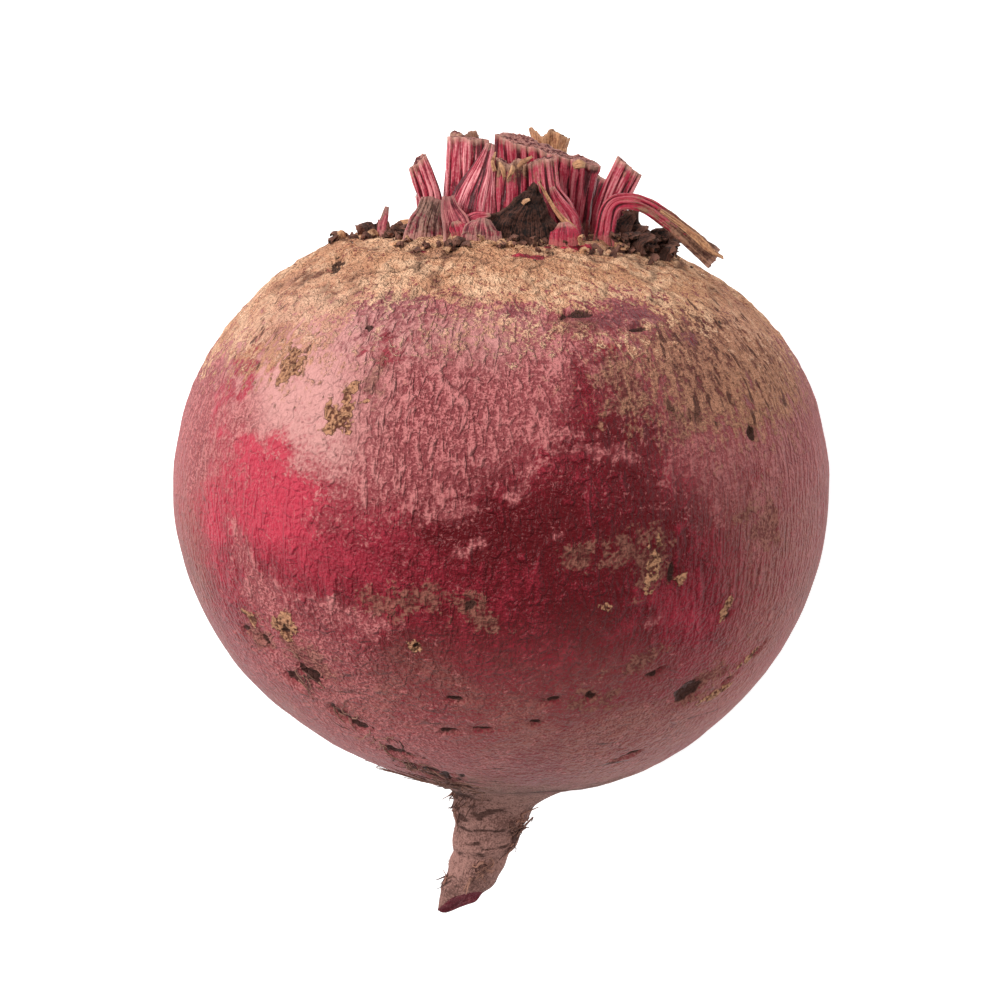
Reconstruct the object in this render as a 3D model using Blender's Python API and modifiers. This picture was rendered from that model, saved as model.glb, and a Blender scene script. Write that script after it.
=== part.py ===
"""A beetroot with trimmed leaf stalks, lying on its side.

The axis of the root lies along Y with the crown towards +Y, and +Z is up.
The origin is the middle of the small flat spot that the beet rests on.
The root, its crown and its tap root grew as one piece. Every cut stalk, leaf
base and dry scale on the crown is a piece of its own, seated on the crown.
Run with: blender --background --python part.py
"""
import math

import bmesh
import bpy
import numpy as np
from mathutils import Vector

MM = 0.001

# The swollen root
BODY_RADIUS = 45.0 * MM
CROWN_HEIGHT = 36.6 * MM
LOWER_HEIGHT = 41.8 * MM
SHOULDER_POWER = 2.25
FLAT_DEPTH = 1.0 * MM
REST_HEIGHT = BODY_RADIUS - FLAT_DEPTH
AROUND = 56

# The neck and the tap root
NECK_TOP_RADIUS = 13.0 * MM
TAP_TOP = -46.1 * MM
TAP_TIP = -66.0 * MM
TAP_HEIGHTS = (-66.0, -53.2, -52.0, -51.2, -49.6, -47.9, -46.1)
TAP_RADII = (3.3, 3.95, 4.0, 4.45, 4.65, 4.95, 5.5)
LEAN = 3.5 * MM
LEAN_POWER = 3.6
TAP_OFFSET = -0.41 * MM
TAP_TILT = 0.035
TAP_CURL = 12.3
TAP_FORWARD = 0.05
WRINKLE_HEIGHT = 0.22 * MM
WRINKLE_PITCH = 3.4 * MM
CUT_CENTRE = Vector((-5.6, -59.4, 1.1)) * MM
CUT_NORMAL = Vector((0.08, -0.84, 0.52))

# The crown's collar, and its rings of leaf scars: radius, height and number of breaks
COLLAR_RADIUS, COLLAR_WIDTH, COLLAR_HEIGHT = 28.0 * MM, 7.0 * MM, 1.15 * MM
BROW_RADIUS, BROW_WIDTH, BROW_HEIGHT = 22.0 * MM, 2.2 * MM, 0.95 * MM
SCAR_CENTRE = 1.7 * MM
SCAR_WIDTH = 1.5 * MM
SCAR_RINGS = ((15.5 * MM, 0.75 * MM, 5), (19.5 * MM, 0.55 * MM, 7), (23.5 * MM, 0.35 * MM, 9))

# Blades: what grows on the crown
SEAT_GAP = 0.35 * MM
RIB_SAMPLES = 3
CUTTER_SIZE = 60.0 * MM


def empty_scene():
    """Removes whatever the scene starts with."""
    for obj in list(bpy.data.objects):
        bpy.data.objects.remove(obj)


def finish(name, colour, roughness):
    """A Principled material of one colour."""
    made = bpy.data.materials.new(name)
    made.use_nodes = True
    shader = made.node_tree.nodes["Principled BSDF"]
    shader.inputs["Base Color"].default_value = (*colour, 1.0)
    shader.inputs["Roughness"].default_value = roughness
    shader.inputs["Metallic"].default_value = 0.0
    return made


def smoothstep(value):
    """0 below 0, 1 above 1, and an even S between."""
    held = np.clip(value, 0.0, 1.0)
    return held * held * (3.0 - 2.0 * held)


def crown_relief(across, depth):
    """Height over the plain crown: a collar that is highest on the left, and broken rings of leaf scars."""
    reach = np.hypot(across, depth)
    left = (0.5 - 0.5 * across / np.maximum(reach, 1.0 * MM)) ** 2
    height = COLLAR_HEIGHT * left * np.exp(-(((reach - COLLAR_RADIUS) / COLLAR_WIDTH) ** 2))
    height += BROW_HEIGHT * left * np.exp(-(((reach - BROW_RADIUS) / BROW_WIDTH) ** 2))
    radius = np.hypot(across - SCAR_CENTRE, depth)
    angle = np.arctan2(depth, across - SCAR_CENTRE)
    for ring, ridge, breaks in SCAR_RINGS:
        wander = 0.8 * MM * np.sin(2.0 * angle + breaks)
        broken = 0.6 + 0.4 * np.sin(breaks * angle + 2.0 * breaks)
        height += ridge * broken * np.exp(-(((radius - ring - wander) / SCAR_WIDTH) ** 2))
    return height


def crown_top(across, depth):
    """Height of the crown's surface over the widest place, at a point seen from the leaf end."""
    reach = np.clip(np.hypot(across, depth) / BODY_RADIUS, 0.0, 0.999)
    dome = CROWN_HEIGHT * (1.0 - reach**SHOULDER_POWER) ** (1.0 / SHOULDER_POWER)
    return dome + crown_relief(across, depth)


def outline():
    """(radius, height) pairs down the outer side, from the crown's middle to the tap root's tip."""
    points = []
    for radius in np.linspace(0.0, 27.0 * MM, 19):
        reach = radius / BODY_RADIUS
        height = CROWN_HEIGHT * (1.0 - reach**SHOULDER_POWER) ** (1.0 / SHOULDER_POWER)
        points.append((radius, height))
    shoulder = math.acos((27.0 * MM / BODY_RADIUS) ** (SHOULDER_POWER / 2.0))
    for turn in np.linspace(shoulder, 0.0, 11)[1:]:
        power = 2.0 / SHOULDER_POWER
        points.append((BODY_RADIUS * math.cos(turn) ** power, CROWN_HEIGHT * math.sin(turn) ** power))
    neck = math.acos(NECK_TOP_RADIUS / BODY_RADIUS)
    for turn in np.linspace(0.0, neck, 14)[1:]:
        points.append((BODY_RADIUS * math.cos(turn), -LOWER_HEIGHT * math.sin(turn)))
    start = np.array(points[-1])
    end = np.array((TAP_RADII[-1] * MM, TAP_TOP))
    along_body = np.array((-BODY_RADIUS * math.sin(neck), -LOWER_HEIGHT * math.cos(neck)))
    handle = start + 5.5 * MM * along_body / np.linalg.norm(along_body)
    down = end + 2.5 * MM * np.array((0.2, 1.0))
    for t in np.linspace(0.0, 1.0, 7)[1:]:
        curve = (1 - t) ** 3 * start + 3 * (1 - t) ** 2 * t * handle
        curve = curve + 3 * (1 - t) * t**2 * down + t**3 * end
        points.append(tuple(curve))
    for height in np.linspace(TAP_TOP, TAP_TIP, 20)[1:]:
        points.append((np.interp(height / MM, TAP_HEIGHTS, TAP_RADII) * MM, height))
    points.append((0.0, TAP_TIP))
    return points


def turned(profile, steps):
    """A mesh turned from the profile about Z with a Screw modifier, its poles welded."""
    line = bpy.data.meshes.new("root_outline")
    line.from_pydata(
        [(radius, 0.0, height) for radius, height in profile],
        [(i, i + 1) for i in range(len(profile) - 1)],
        [],
    )
    guide = bpy.data.objects.new("root_outline", line)
    bpy.context.scene.collection.objects.link(guide)
    screw = guide.modifiers.new("turn", "SCREW")
    screw.axis = "Z"
    screw.steps = steps
    screw.render_steps = steps
    screw.use_merge_vertices = True
    screw.merge_threshold = 0.00001
    graph = bpy.context.evaluated_depsgraph_get()
    mesh = bpy.data.meshes.new_from_object(guide.evaluated_get(graph))
    bpy.data.objects.remove(guide)
    shape = bmesh.new()
    shape.from_mesh(mesh)
    bmesh.ops.remove_doubles(shape, verts=shape.verts, dist=0.00001)
    shape.to_mesh(mesh)
    shape.free()
    return mesh


def grown(points):
    """Moves points of the turned root to their grown place, with its axis laid along Y.

    The sides swell in a few soft lobes, the lower half leans to one side, the
    tap root bends back the other way, and rings of scars rise on the crown.
    """
    across, depth, height = points[:, 0], -points[:, 1], points[:, 2]
    radius = np.hypot(across, depth)
    angle = np.arctan2(depth, across)
    waist = (radius / BODY_RADIUS) ** 4
    lobes = 0.007 * np.sin(2.0 * angle + 0.6) + 0.005 * np.sin(3.0 * angle + 2.1)
    lobes += 0.003 * np.sin(5.0 * angle + 60.0 * height / BODY_RADIUS * 0.05)
    swell = 1.0 + waist * lobes
    below = np.clip(-height / (40.0 * MM), 0.0, 1.0)
    on_tap = smoothstep((-height - 39.6 * MM) / (5.9 * MM))
    drop = np.clip(-height - 40.0 * MM, 0.0, None)
    lean = LEAN * below**LEAN_POWER
    bend = TAP_OFFSET - TAP_TILT * drop - TAP_CURL * drop**2
    wrinkle = np.sin(2.0 * math.pi * height / WRINKLE_PITCH + 0.9 * np.sin(angle + 0.5))
    swell = swell + on_tap * WRINKLE_HEIGHT * wrinkle / np.maximum(radius, 1.0 * MM)
    placed = np.empty_like(points)
    placed[:, 0] = across * swell + (1.0 - on_tap) * lean + on_tap * bend
    placed[:, 1] = height + np.where(height > 0.0, crown_relief(across, depth), 0.0)
    placed[:, 2] = depth * swell + on_tap * TAP_FORWARD * drop
    return placed


def cutter(name, centre, normal):
    """A hidden cube whose near face passes through the centre, square to the normal."""
    bpy.ops.mesh.primitive_cube_add(size=CUTTER_SIZE)
    block = bpy.context.object
    block.name = name
    block.rotation_euler = normal.to_track_quat("Z", "Y").to_euler()
    block.location = centre + normal.normalized() * CUTTER_SIZE / 2.0
    block.hide_render = True
    block.display_type = "WIRE"
    return block


def root(skin):
    """The swollen root with its crown and tap root, cut flat where it rests and at the tap root's end."""
    mesh = turned(outline(), AROUND)
    mesh.name = "root"
    points = np.empty(len(mesh.vertices) * 3)
    mesh.vertices.foreach_get("co", points)
    mesh.vertices.foreach_set("co", grown(points.reshape(-1, 3)).ravel())
    mesh.shade_smooth()
    mesh.set_sharp_from_angle(angle=math.radians(50.0))
    mesh.materials.clear()
    mesh.materials.append(skin)
    made = bpy.data.objects.new("root", mesh)
    cutters = (
        cutter("resting_cut", Vector((0.0, 0.0, -REST_HEIGHT)), Vector((0.0, 0.0, -1.0))),
        cutter("tap_root_cut", CUT_CENTRE, CUT_NORMAL),
    )
    for block in cutters:
        cut = made.modifiers.new(block.name, "BOOLEAN")
        cut.operation = "DIFFERENCE"
        cut.object = block
    return made, cutters


def through(controls, steps):
    """A smooth curve through the control rows, as one row for each step from 0 to 1."""
    rows = np.atleast_2d(np.array(controls, float))
    if len(rows) == 1:
        return np.repeat(rows, len(steps), axis=0)
    padded = np.vstack((2.0 * rows[0] - rows[1], rows, 2.0 * rows[-1] - rows[-2]))
    place = steps * (len(rows) - 1)
    left = np.clip(place.astype(int), 0, len(rows) - 2)
    t = (place - left)[:, None]
    p0, p1, p2, p3 = (padded[left + k] for k in range(4))
    return 0.5 * (
        2.0 * p1
        + (p2 - p0) * t
        + (2.0 * p0 - 5.0 * p1 + 4.0 * p2 - p3) * t**2
        + (3.0 * p1 - p0 - 3.0 * p2 + p3) * t**3
    )


def unit(rows):
    """Each row at length 1."""
    return rows / np.linalg.norm(rows, axis=-1, keepdims=True)


def blade(
    name, material, spine, faces, widths, thick, bow,
    ribs=0, rib=0.0, slope=0.0, tear=0.0, wave=0.0, rows=6, seed=1,
):
    """A curved, channelled stalk or scale, swept along its spine and seated on the crown.

    spine holds (right, up, towards the viewer) points in mm, up counted from
    the crown's top, and the first point's up is replaced by the crown's own
    height. faces holds the directions that the outer side looks in, widths the
    widths in mm from base to tip, thick the thickness at base and tip, and bow
    the arc of the cross-section in degrees at base and tip. ribs of height rib
    run along the outer side. The tip is cut at the slope, in mm per mm across,
    and torn by up to tear mm. wave ruffles the edges.
    """
    columns = max(7, RIB_SAMPLES * ribs + 1)
    along = np.linspace(0.0, 1.0, rows)
    side = np.linspace(-1.0, 1.0, columns)
    path = through(spine, along) * MM
    path[:, 1] += CROWN_HEIGHT
    path[0, 1] = crown_top(path[0, 0], path[0, 2])
    ahead = unit(np.gradient(path, axis=0))
    out = through(faces, along)
    out = unit(out - np.sum(out * ahead, axis=1, keepdims=True) * ahead)
    over = np.cross(ahead, out)
    width = through(np.array(widths)[:, None], along) * MM
    wall = through(np.array(thick)[:, None], along) * MM
    arc = np.radians(through(np.array(bow)[:, None], along))
    turn = arc / 2.0 * side
    bend_radius = width / arc
    lift = bend_radius * (np.cos(turn) - 1.0)
    lift += rib * MM * (0.5 + 0.5 * np.cos(math.pi * ribs * (side + 1.0))) if ribs else 0.0
    lift += wave * MM * side**2 * np.sin(7.0 * along[:, None] + 3.0 * side + seed)
    outer = path[:, None] + over[:, None] * (bend_radius * np.sin(turn))[..., None]
    outer += out[:, None] * lift[..., None]
    normal = out[:, None] * np.cos(turn)[..., None] + over[:, None] * np.sin(turn)[..., None]
    ragged = np.random.default_rng(seed).uniform(-1.0, 1.0, columns)
    reach = (slope * width[-1] / 2.0 * side + tear * MM * ragged) * smoothstep(along[:, None] * 2.0 - 1.0)
    outer += ahead[:, None] * reach[..., None]
    depth = wall * (1.0 - 0.45 * side**4)
    inner = outer - normal * depth[..., None]
    for skin in (outer, inner):
        skin[0, :, 1] = crown_top(skin[0, :, 0], skin[0, :, 2]) + SEAT_GAP
    return solid_between(name, material, outer, inner)


def solid_between(name, material, outer, inner):
    """A closed mesh between two grids of points, split into triangles alike on both faces."""
    rows, columns = outer.shape[:2]
    index = np.arange(rows * columns).reshape(rows, columns)
    back = index + rows * columns
    corners = (index[:-1, :-1], index[:-1, 1:], index[1:, 1:], index[1:, :-1])
    a, b, c, d = (corner.ravel() for corner in corners)
    shift = rows * columns
    faces = [*zip(a, b, c), *zip(a, c, d)]
    faces += [*zip(a + shift, c + shift, b + shift), *zip(a + shift, d + shift, c + shift)]
    rim = [*index[0], *index[1:, -1], *index[-1, -2::-1], *index[-2:0:-1, 0]]
    far = [*back[0], *back[1:, -1], *back[-1, -2::-1], *back[-2:0:-1, 0]]
    for k in range(len(rim)):
        n = (k + 1) % len(rim)
        faces += [(rim[k], far[n], rim[n]), (rim[k], far[k], far[n])]
    mesh = bpy.data.meshes.new(name)
    points = np.vstack((outer.reshape(-1, 3), inner.reshape(-1, 3)))
    mesh.from_pydata(points.tolist(), [], [[int(v) for v in face] for face in faces])
    shape = bmesh.new()
    shape.from_mesh(mesh)
    bmesh.ops.recalc_face_normals(shape, faces=shape.faces)
    shape.to_mesh(mesh)
    shape.free()
    mesh.materials.append(material)
    return bpy.data.objects.new(name, mesh)


FRONT, BACK = (0.0, 0.0, 1.0), (0.0, 0.0, -1.0)
FRONT_LEFT, FRONT_RIGHT = (-0.6, 0.0, 0.8), (0.6, 0.0, 0.8)
BACK_LEFT, BACK_RIGHT = (-0.6, 0.0, -0.8), (0.6, 0.0, -0.8)


def tall_stalks(fresh):
    """The tall cut stalks in the middle of the rosette."""
    return [
        blade("stalk_tall_left", fresh, [(-4.7, 0, 3.0), (-4.5, 6, 3.2), (-4.3, 12.2, 3.0)], [FRONT],
              (7.4, 7.0, 6.8), (3.2, 2.8), (95, 95), ribs=5, rib=0.35, slope=-0.04, tear=0.3, seed=2),
        blade("stalk_tall_back", fresh, [(-5.0, 0, -7.0), (-5.0, 7, -6.6), (-4.9, 12.2, -6.2)], [BACK],
              (7.4, 6.2, 4.8), (2.8, 2.2), (80, 90), ribs=4, rib=0.3, slope=-0.1, tear=0.8, seed=3),
        blade("stalk_wide_right", fresh, [(6.7, 0, 2.8), (6.9, 6, 2.9), (7.0, 10.4, 3.2)], [FRONT],
              (11.4, 13.4, 14.8), (4.2, 3.8), (62, 62), ribs=8, rib=0.4, slope=-0.25, tear=0.25, seed=4),
        blade("stalk_centre_back", fresh, [(1.6, 0, -7.2), (1.5, 7, -6.8), (1.4, 12.0, -6.0)], [BACK],
              (5.6, 5.4, 5.0), (2.4, 2.0), (70, 80), ribs=3, rib=0.3, slope=0.2, tear=0.3, seed=5),
    ]


def front_stalks(fresh):
    """The torn stalks that stand in front of the tall ones."""
    return [
        blade("stalk_front_flap", fresh,
              [(-4.6, 0, 9.6), (-4.0, 2.4, 9.2), (-3.5, 4.9, 8.8), (-2.4, 7.9, 8.2), (-1.2, 11.7, 7.2)], [FRONT],
              (6.4, 6.4, 6.4, 4.6, 1.2), (2.0, 1.2), (80, 60), ribs=3, rib=0.25, tear=0.15, rows=9, seed=6),
        blade("stalk_front_torn", fresh, [(1.3, 0, 8.5), (1.6, 6.0, 8.1), (1.9, 9.6, 7.5)], [FRONT],
              (4.4, 4.4, 4.2), (2.2, 1.8), (110, 90), ribs=2, rib=0.25, tear=0.9, seed=7),
        blade("stalk_front_right", fresh,
              [(8.0, 0, 9.9), (7.2, 2.8, 9.2), (6.0, 5.6, 8.6), (5.7, 9.3, 7.8)], [FRONT],
              (7.6, 6.8, 4.4, 3.6), (1.8, 1.4), (70, 60), ribs=4, rib=0.25, slope=0.1, tear=0.3, rows=8, seed=8),
    ]


def side_stalks(fresh, dried):
    """The stubs that lean out at the sides, and the dried stalk that arches over on the right."""
    return [
        blade("stalk_short_left", fresh,
              [(-9.5, 0, 3.4), (-9.7, 3.8, 3.4), (-10.4, 6.4, 3.4), (-11.2, 9.0, 3.2)], [FRONT_LEFT, FRONT],
              (3.4, 3.3, 2.9, 2.6), (1.8, 1.5), (100, 90), ribs=3, rib=0.2, slope=0.3, tear=0.3, seed=9),
        blade("stalk_slanted_right", fresh,
              [(14.7, 0, 1.8), (15.1, 1.8, 1.8), (16.1, 4.8, 2.0), (17.7, 8.2, 2.2)], [(0.2, 0, 1)],
              (4.8, 4.8, 4.6, 4.4), (2.2, 2.0), (110, 110), ribs=4, rib=0.22, slope=-0.2, tear=0.25, seed=10),
        blade("stalk_arched_right", dried,
              [(13.8, 0, 9.8), (13.9, 1.4, 9.5), (14.6, 3.2, 9.2), (16.3, 4.2, 9.0), (19.4, 3.7, 8.6),
               (22.8, 1.6, 8.2), (26.0, -0.9, 7.8), (28.9, -3.4, 7.2)],
              [(-0.2, 0, 1), (-0.3, 0.1, 1), (-0.2, 0.3, 0.9), (0.1, 0.6, 0.8), (0.3, 0.6, 0.8), (0.45, 0.55, 0.8)],
              (3.6, 3.2, 2.9, 2.8, 2.8, 3.0, 3.4, 3.8), (1.2, 0.9), (80, 60), ribs=3, rib=0.2, tear=0.7,
              rows=16, seed=11),
        blade("stalk_low_right_back", fresh, [(12.6, 0, -7.2), (13.4, 3, -8.2), (14.2, 5.2, -9.6)], [BACK_RIGHT],
              (7.0, 6.4, 6.0), (2.4, 2.2), (90, 90), ribs=4, rib=0.25, slope=0.15, tear=0.3, rows=5, seed=12),
        blade("stalk_low_left_back", fresh, [(-9.8, 0, -9.0), (-10.2, 1.6, -9.9), (-10.6, 2.8, -11.0)], [BACK_LEFT],
              (6.8, 6.2, 5.6), (2.4, 2.0), (95, 90), ribs=4, rib=0.25, slope=-0.15, tear=0.3, rows=5, seed=13),
        blade("stalk_back_right", fresh, [(5.0, 0, -13.4), (5.2, 4, -14.2), (5.4, 7.4, -15.4)], [BACK],
              (8.6, 7.8, 7.2), (2.8, 2.4), (90, 90), ribs=5, rib=0.3, slope=0.12, tear=0.35, rows=5, seed=14),
    ]


def dry_leaf_bases(fresh, dried, papery):
    """The dried leaf bases, scales and scraps round the foot of the stalks."""
    return [
        blade("leaf_base_left", dried, [(-10.7, 0, 9.9), (-9.8, 2.2, 9.2), (-9.0, 4.6, 8.4)],
              [(-0.3, 0.2, 1), (-0.15, 0, 1)],
              (6.2, 4.8, 4.2), (1.3, 1.0), (70, 70), wave=0.15, tear=0.25, seed=15),
        blade("leaf_curl_left", dried, [(-5.2, 0, 13.2), (-6.0, 2.0, 12.0), (-6.8, 4.7, 10.8)], [(0.2, 0, 1)],
              (4.8, 2.9, 1.0), (0.8, 0.7), (90, 60), wave=0.1, tear=0.1, seed=16),
        blade("scale_dark_front", papery, [(4.0, 0, 13.3), (4.2, 3.1, 12.2), (4.9, 6.4, 11.2)],
              [(0, 0.35, 1), (0, 0.1, 1)],
              (14.4, 7.4, 1.2), (0.9, 0.8), (60, 50), wave=0.2, tear=0.1, rows=8, seed=17),
        blade("scale_low_front", dried, [(-2.5, 0, 15.4), (-2.6, 0.9, 14.9), (-2.4, 2.1, 14.0)], [(-0.1, 0.5, 1)],
              (6.0, 5.0, 2.2), (0.9, 0.7), (60, 50), wave=0.15, tear=0.3, rows=4, seed=18),
        blade("scale_red_front", fresh, [(8.6, 0, 15.0), (8.6, 0.8, 14.7), (8.4, 1.9, 14.1)], [(0.1, 0.4, 1)],
              (4.8, 3.8, 1.8), (0.9, 0.7), (60, 50), tear=0.15, rows=4, seed=23),
        blade("scale_curled_right", papery, [(18.2, 0, 5.0), (18.1, 0.4, 5.0), (17.6, 2.6, 5.0)],
              [(0.5, 0, 0.9), (0.2, 0, 1)],
              (3.2, 2.4, 2.2), (0.9, 0.8), (90, 70), wave=0.2, tear=0.4, seed=19),
        blade("scale_back", papery, [(-4.6, 0, -13.2), (-4.8, 2.4, -13.4), (-4.4, 5.0, -13.0)], [(0, 0.3, -1)],
              (9.0, 5.6, 1.6), (0.9, 0.8), (60, 50), wave=0.2, tear=0.2, rows=5, seed=20),
        blade("leaf_scrap_back", papery, [(7.4, 0, -8.0), (7.0, 7.4, -7.4), (6.9, 12.6, -7.0)],
              [(0.1, 0, 1), (0.0, 0, 1), (0.2, 0, 1)],
              (2.4, 3.0, 6.4), (0.9, 0.8), (60, 80), wave=0.35, tear=0.8, rows=7, seed=21),
        blade("shard_left", dried, [(-16.5, 0, 2.0), (-16.0, 1.0, 2.0), (-15.5, 2.8, 1.8)], [FRONT_LEFT],
              (2.0, 1.6, 0.8), (0.8, 0.7), (70, 60), tear=0.1, rows=4, seed=22),
    ]


def main():
    """Builds the beet in its own collection and lifts it onto its resting spot."""
    empty_scene()
    skin = finish("root_skin", (0.30, 0.07, 0.08), 0.55)
    fresh = finish("fresh_stalk", (0.36, 0.05, 0.08), 0.45)
    dried = finish("dried_stalk", (0.22, 0.10, 0.08), 0.8)
    papery = finish("dry_scale", (0.06, 0.035, 0.025), 0.9)
    beet = bpy.data.collections.new("beetroot")
    hidden = bpy.data.collections.new("cutters")
    bpy.context.scene.collection.children.link(beet)
    bpy.context.scene.collection.children.link(hidden)
    axis = bpy.data.objects.new("beet_axis", None)
    beet.objects.link(axis)
    axis.location = (0.0, 0.0, REST_HEIGHT)
    body, cutters = root(skin)
    pieces = [body, *tall_stalks(fresh), *front_stalks(fresh), *side_stalks(fresh, dried)]
    pieces += dry_leaf_bases(fresh, dried, papery)
    for piece in pieces:
        beet.objects.link(piece)
        piece.parent = axis
    for block in cutters:
        for holder in list(block.users_collection):
            holder.objects.unlink(block)
        hidden.objects.link(block)
        block.parent = axis


main()
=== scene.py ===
"""The beetroot dressed for the camera: its skin, its crown of cut stalks and scales, and its fine roots.

The root is one surface swept round its axis, with the broad colours of the
skin worked out as masks on its points and their ragged edges made in the
material. Each stalk and scale is a curved blade swept along its spine. Sizes
are in millimetres until a mesh is made.
"""

from __future__ import annotations

import logging
import math
from collections.abc import Callable
from dataclasses import dataclass, field
from enum import Enum

import bpy
import numpy as np
from mathutils import Matrix, Vector


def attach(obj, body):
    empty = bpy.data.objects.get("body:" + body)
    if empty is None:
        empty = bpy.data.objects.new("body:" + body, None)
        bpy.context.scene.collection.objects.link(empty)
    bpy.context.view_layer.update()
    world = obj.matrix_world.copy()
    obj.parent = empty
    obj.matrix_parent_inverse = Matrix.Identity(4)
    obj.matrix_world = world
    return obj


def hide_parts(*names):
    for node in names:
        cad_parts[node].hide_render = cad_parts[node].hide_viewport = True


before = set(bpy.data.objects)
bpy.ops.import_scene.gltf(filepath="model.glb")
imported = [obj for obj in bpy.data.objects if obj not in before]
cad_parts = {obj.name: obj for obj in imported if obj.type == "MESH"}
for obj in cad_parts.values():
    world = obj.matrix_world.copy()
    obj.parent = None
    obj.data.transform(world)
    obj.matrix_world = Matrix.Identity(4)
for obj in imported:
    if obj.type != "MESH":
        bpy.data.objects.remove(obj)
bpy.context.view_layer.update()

MM = 0.001
BODY = "root"
REST_HEIGHT = 44.0
CUT_ROWS = 9
Array = np.ndarray
Colour = tuple[float, float, float]
log = logging.getLogger("beetroot")


class Slot(Enum):
    """The record's material slots."""

    ROOT = "root_skin"
    FRESH = "fresh_stalk"
    DRIED = "dried_stalk"
    SCALE = "dry_scale"


def smoothstep(value: Array) -> Array:
    """0 below 0, 1 above 1, and an even S between."""
    held = np.clip(value, 0.0, 1.0)
    return held * held * (3.0 - 2.0 * held)


def lattice(cell: Array, seed: int) -> Array:
    """A repeatable number from 0 to 1 for each cell: the fraction left of a large sine."""
    spun = np.sin(cell @ np.array((127.1, 311.7, 74.7)) + 37.3 * seed) * 43758.5453
    return spun - np.floor(spun)


def noise(points: Array, size: float, seed: int = 0, octaves: int = 1) -> Array:
    """Soft noise from -1 to 1: the corners' numbers of each cell, blended by smoothsteps.

    Args:
        points: Places in mm, as (..., 3).
        size: Width of one cell in mm, halved for each further octave.
        seed: Which of the repeatable patterns.
        octaves: How many layers, each half as strong as the last.

    Returns:
        One value for each place.
    """
    total, strength, most = np.zeros(points.shape[:-1]), 1.0, 0.0
    for octave in range(octaves):
        place = points / size * 2.0**octave
        cell = np.floor(place)
        part = smoothstep(place - cell)
        layer = np.zeros(points.shape[:-1])
        for corner in np.ndindex(2, 2, 2):
            near = np.where(corner, part, 1.0 - part).prod(axis=-1)
            layer += near * lattice(cell + corner, seed + 11 * octave)
        total += strength * (2.0 * layer - 1.0)
        most += strength
        strength *= 0.5
    return total / most


def unit(rows: Array) -> Array:
    """Each vector at length 1."""
    return rows / np.maximum(np.linalg.norm(rows, axis=-1, keepdims=True), 1e-9)


def ring_normals(grid: Array) -> Array:
    """Outward normals of a grid whose columns close into a ring: the cross of its two slopes."""
    along = np.gradient(grid, axis=0)
    around = np.roll(grid, -1, axis=1) - np.roll(grid, 1, axis=1)
    return unit(np.cross(around, along))


def through(controls: list, steps: Array) -> Array:
    """A smooth curve through the control rows, as one row for each step from 0 to 1."""
    rows = np.atleast_2d(np.array(controls, float))
    if len(rows) == 1:
        return np.repeat(rows, len(steps), axis=0)
    padded = np.vstack((2.0 * rows[0] - rows[1], rows, 2.0 * rows[-1] - rows[-2]))
    place = steps * (len(rows) - 1)
    left = np.clip(place.astype(int), 0, len(rows) - 2)
    t = (place - left)[:, None]
    p0, p1, p2, p3 = (padded[left + k] for k in range(4))
    return 0.5 * (
        2.0 * p1
        + (p2 - p0) * t
        + (2.0 * p0 - 5.0 * p1 + 4.0 * p2 - p3) * t**2
        + (3.0 * p1 - p0 - 3.0 * p2 + p3) * t**3
    )


@dataclass
class Surface:
    """Rings of points closed by a point at each end, with values that ride on the points."""

    rings: Array
    start: Array
    end: Array
    values: dict[str, Array] = field(default_factory=dict)

    def faces(self, first: int = 0) -> tuple[Array, Array]:
        """The quads between the rings and the triangles at both ends, counted from the first point."""
        rows, columns = self.rings.shape[:2]
        index = first + np.arange(rows * columns).reshape(rows, columns)
        after = np.roll(index, -1, axis=1)
        quads = np.stack((index[:-1], after[:-1], after[1:], index[1:]), axis=-1).reshape(-1, 4)
        start, end = first + rows * columns, first + rows * columns + 1
        fans = [(start, b, a) for a, b in zip(index[0], after[0])]
        fans += [(end, a, b) for a, b in zip(index[-1], after[-1])]
        return quads, np.array(fans)

    def points(self) -> Array:
        """All the points, with the two end points last."""
        return np.vstack((self.rings.reshape(-1, 3), self.start, self.end))

    def value(self, name: str) -> Array:
        """A value at each point, with the end points taking their ring's mean."""
        rows = self.values[name]
        flat = rows.reshape(-1, *rows.shape[2:])
        return np.concatenate((flat, rows[:1].mean(axis=1), rows[-1:].mean(axis=1)))


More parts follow.
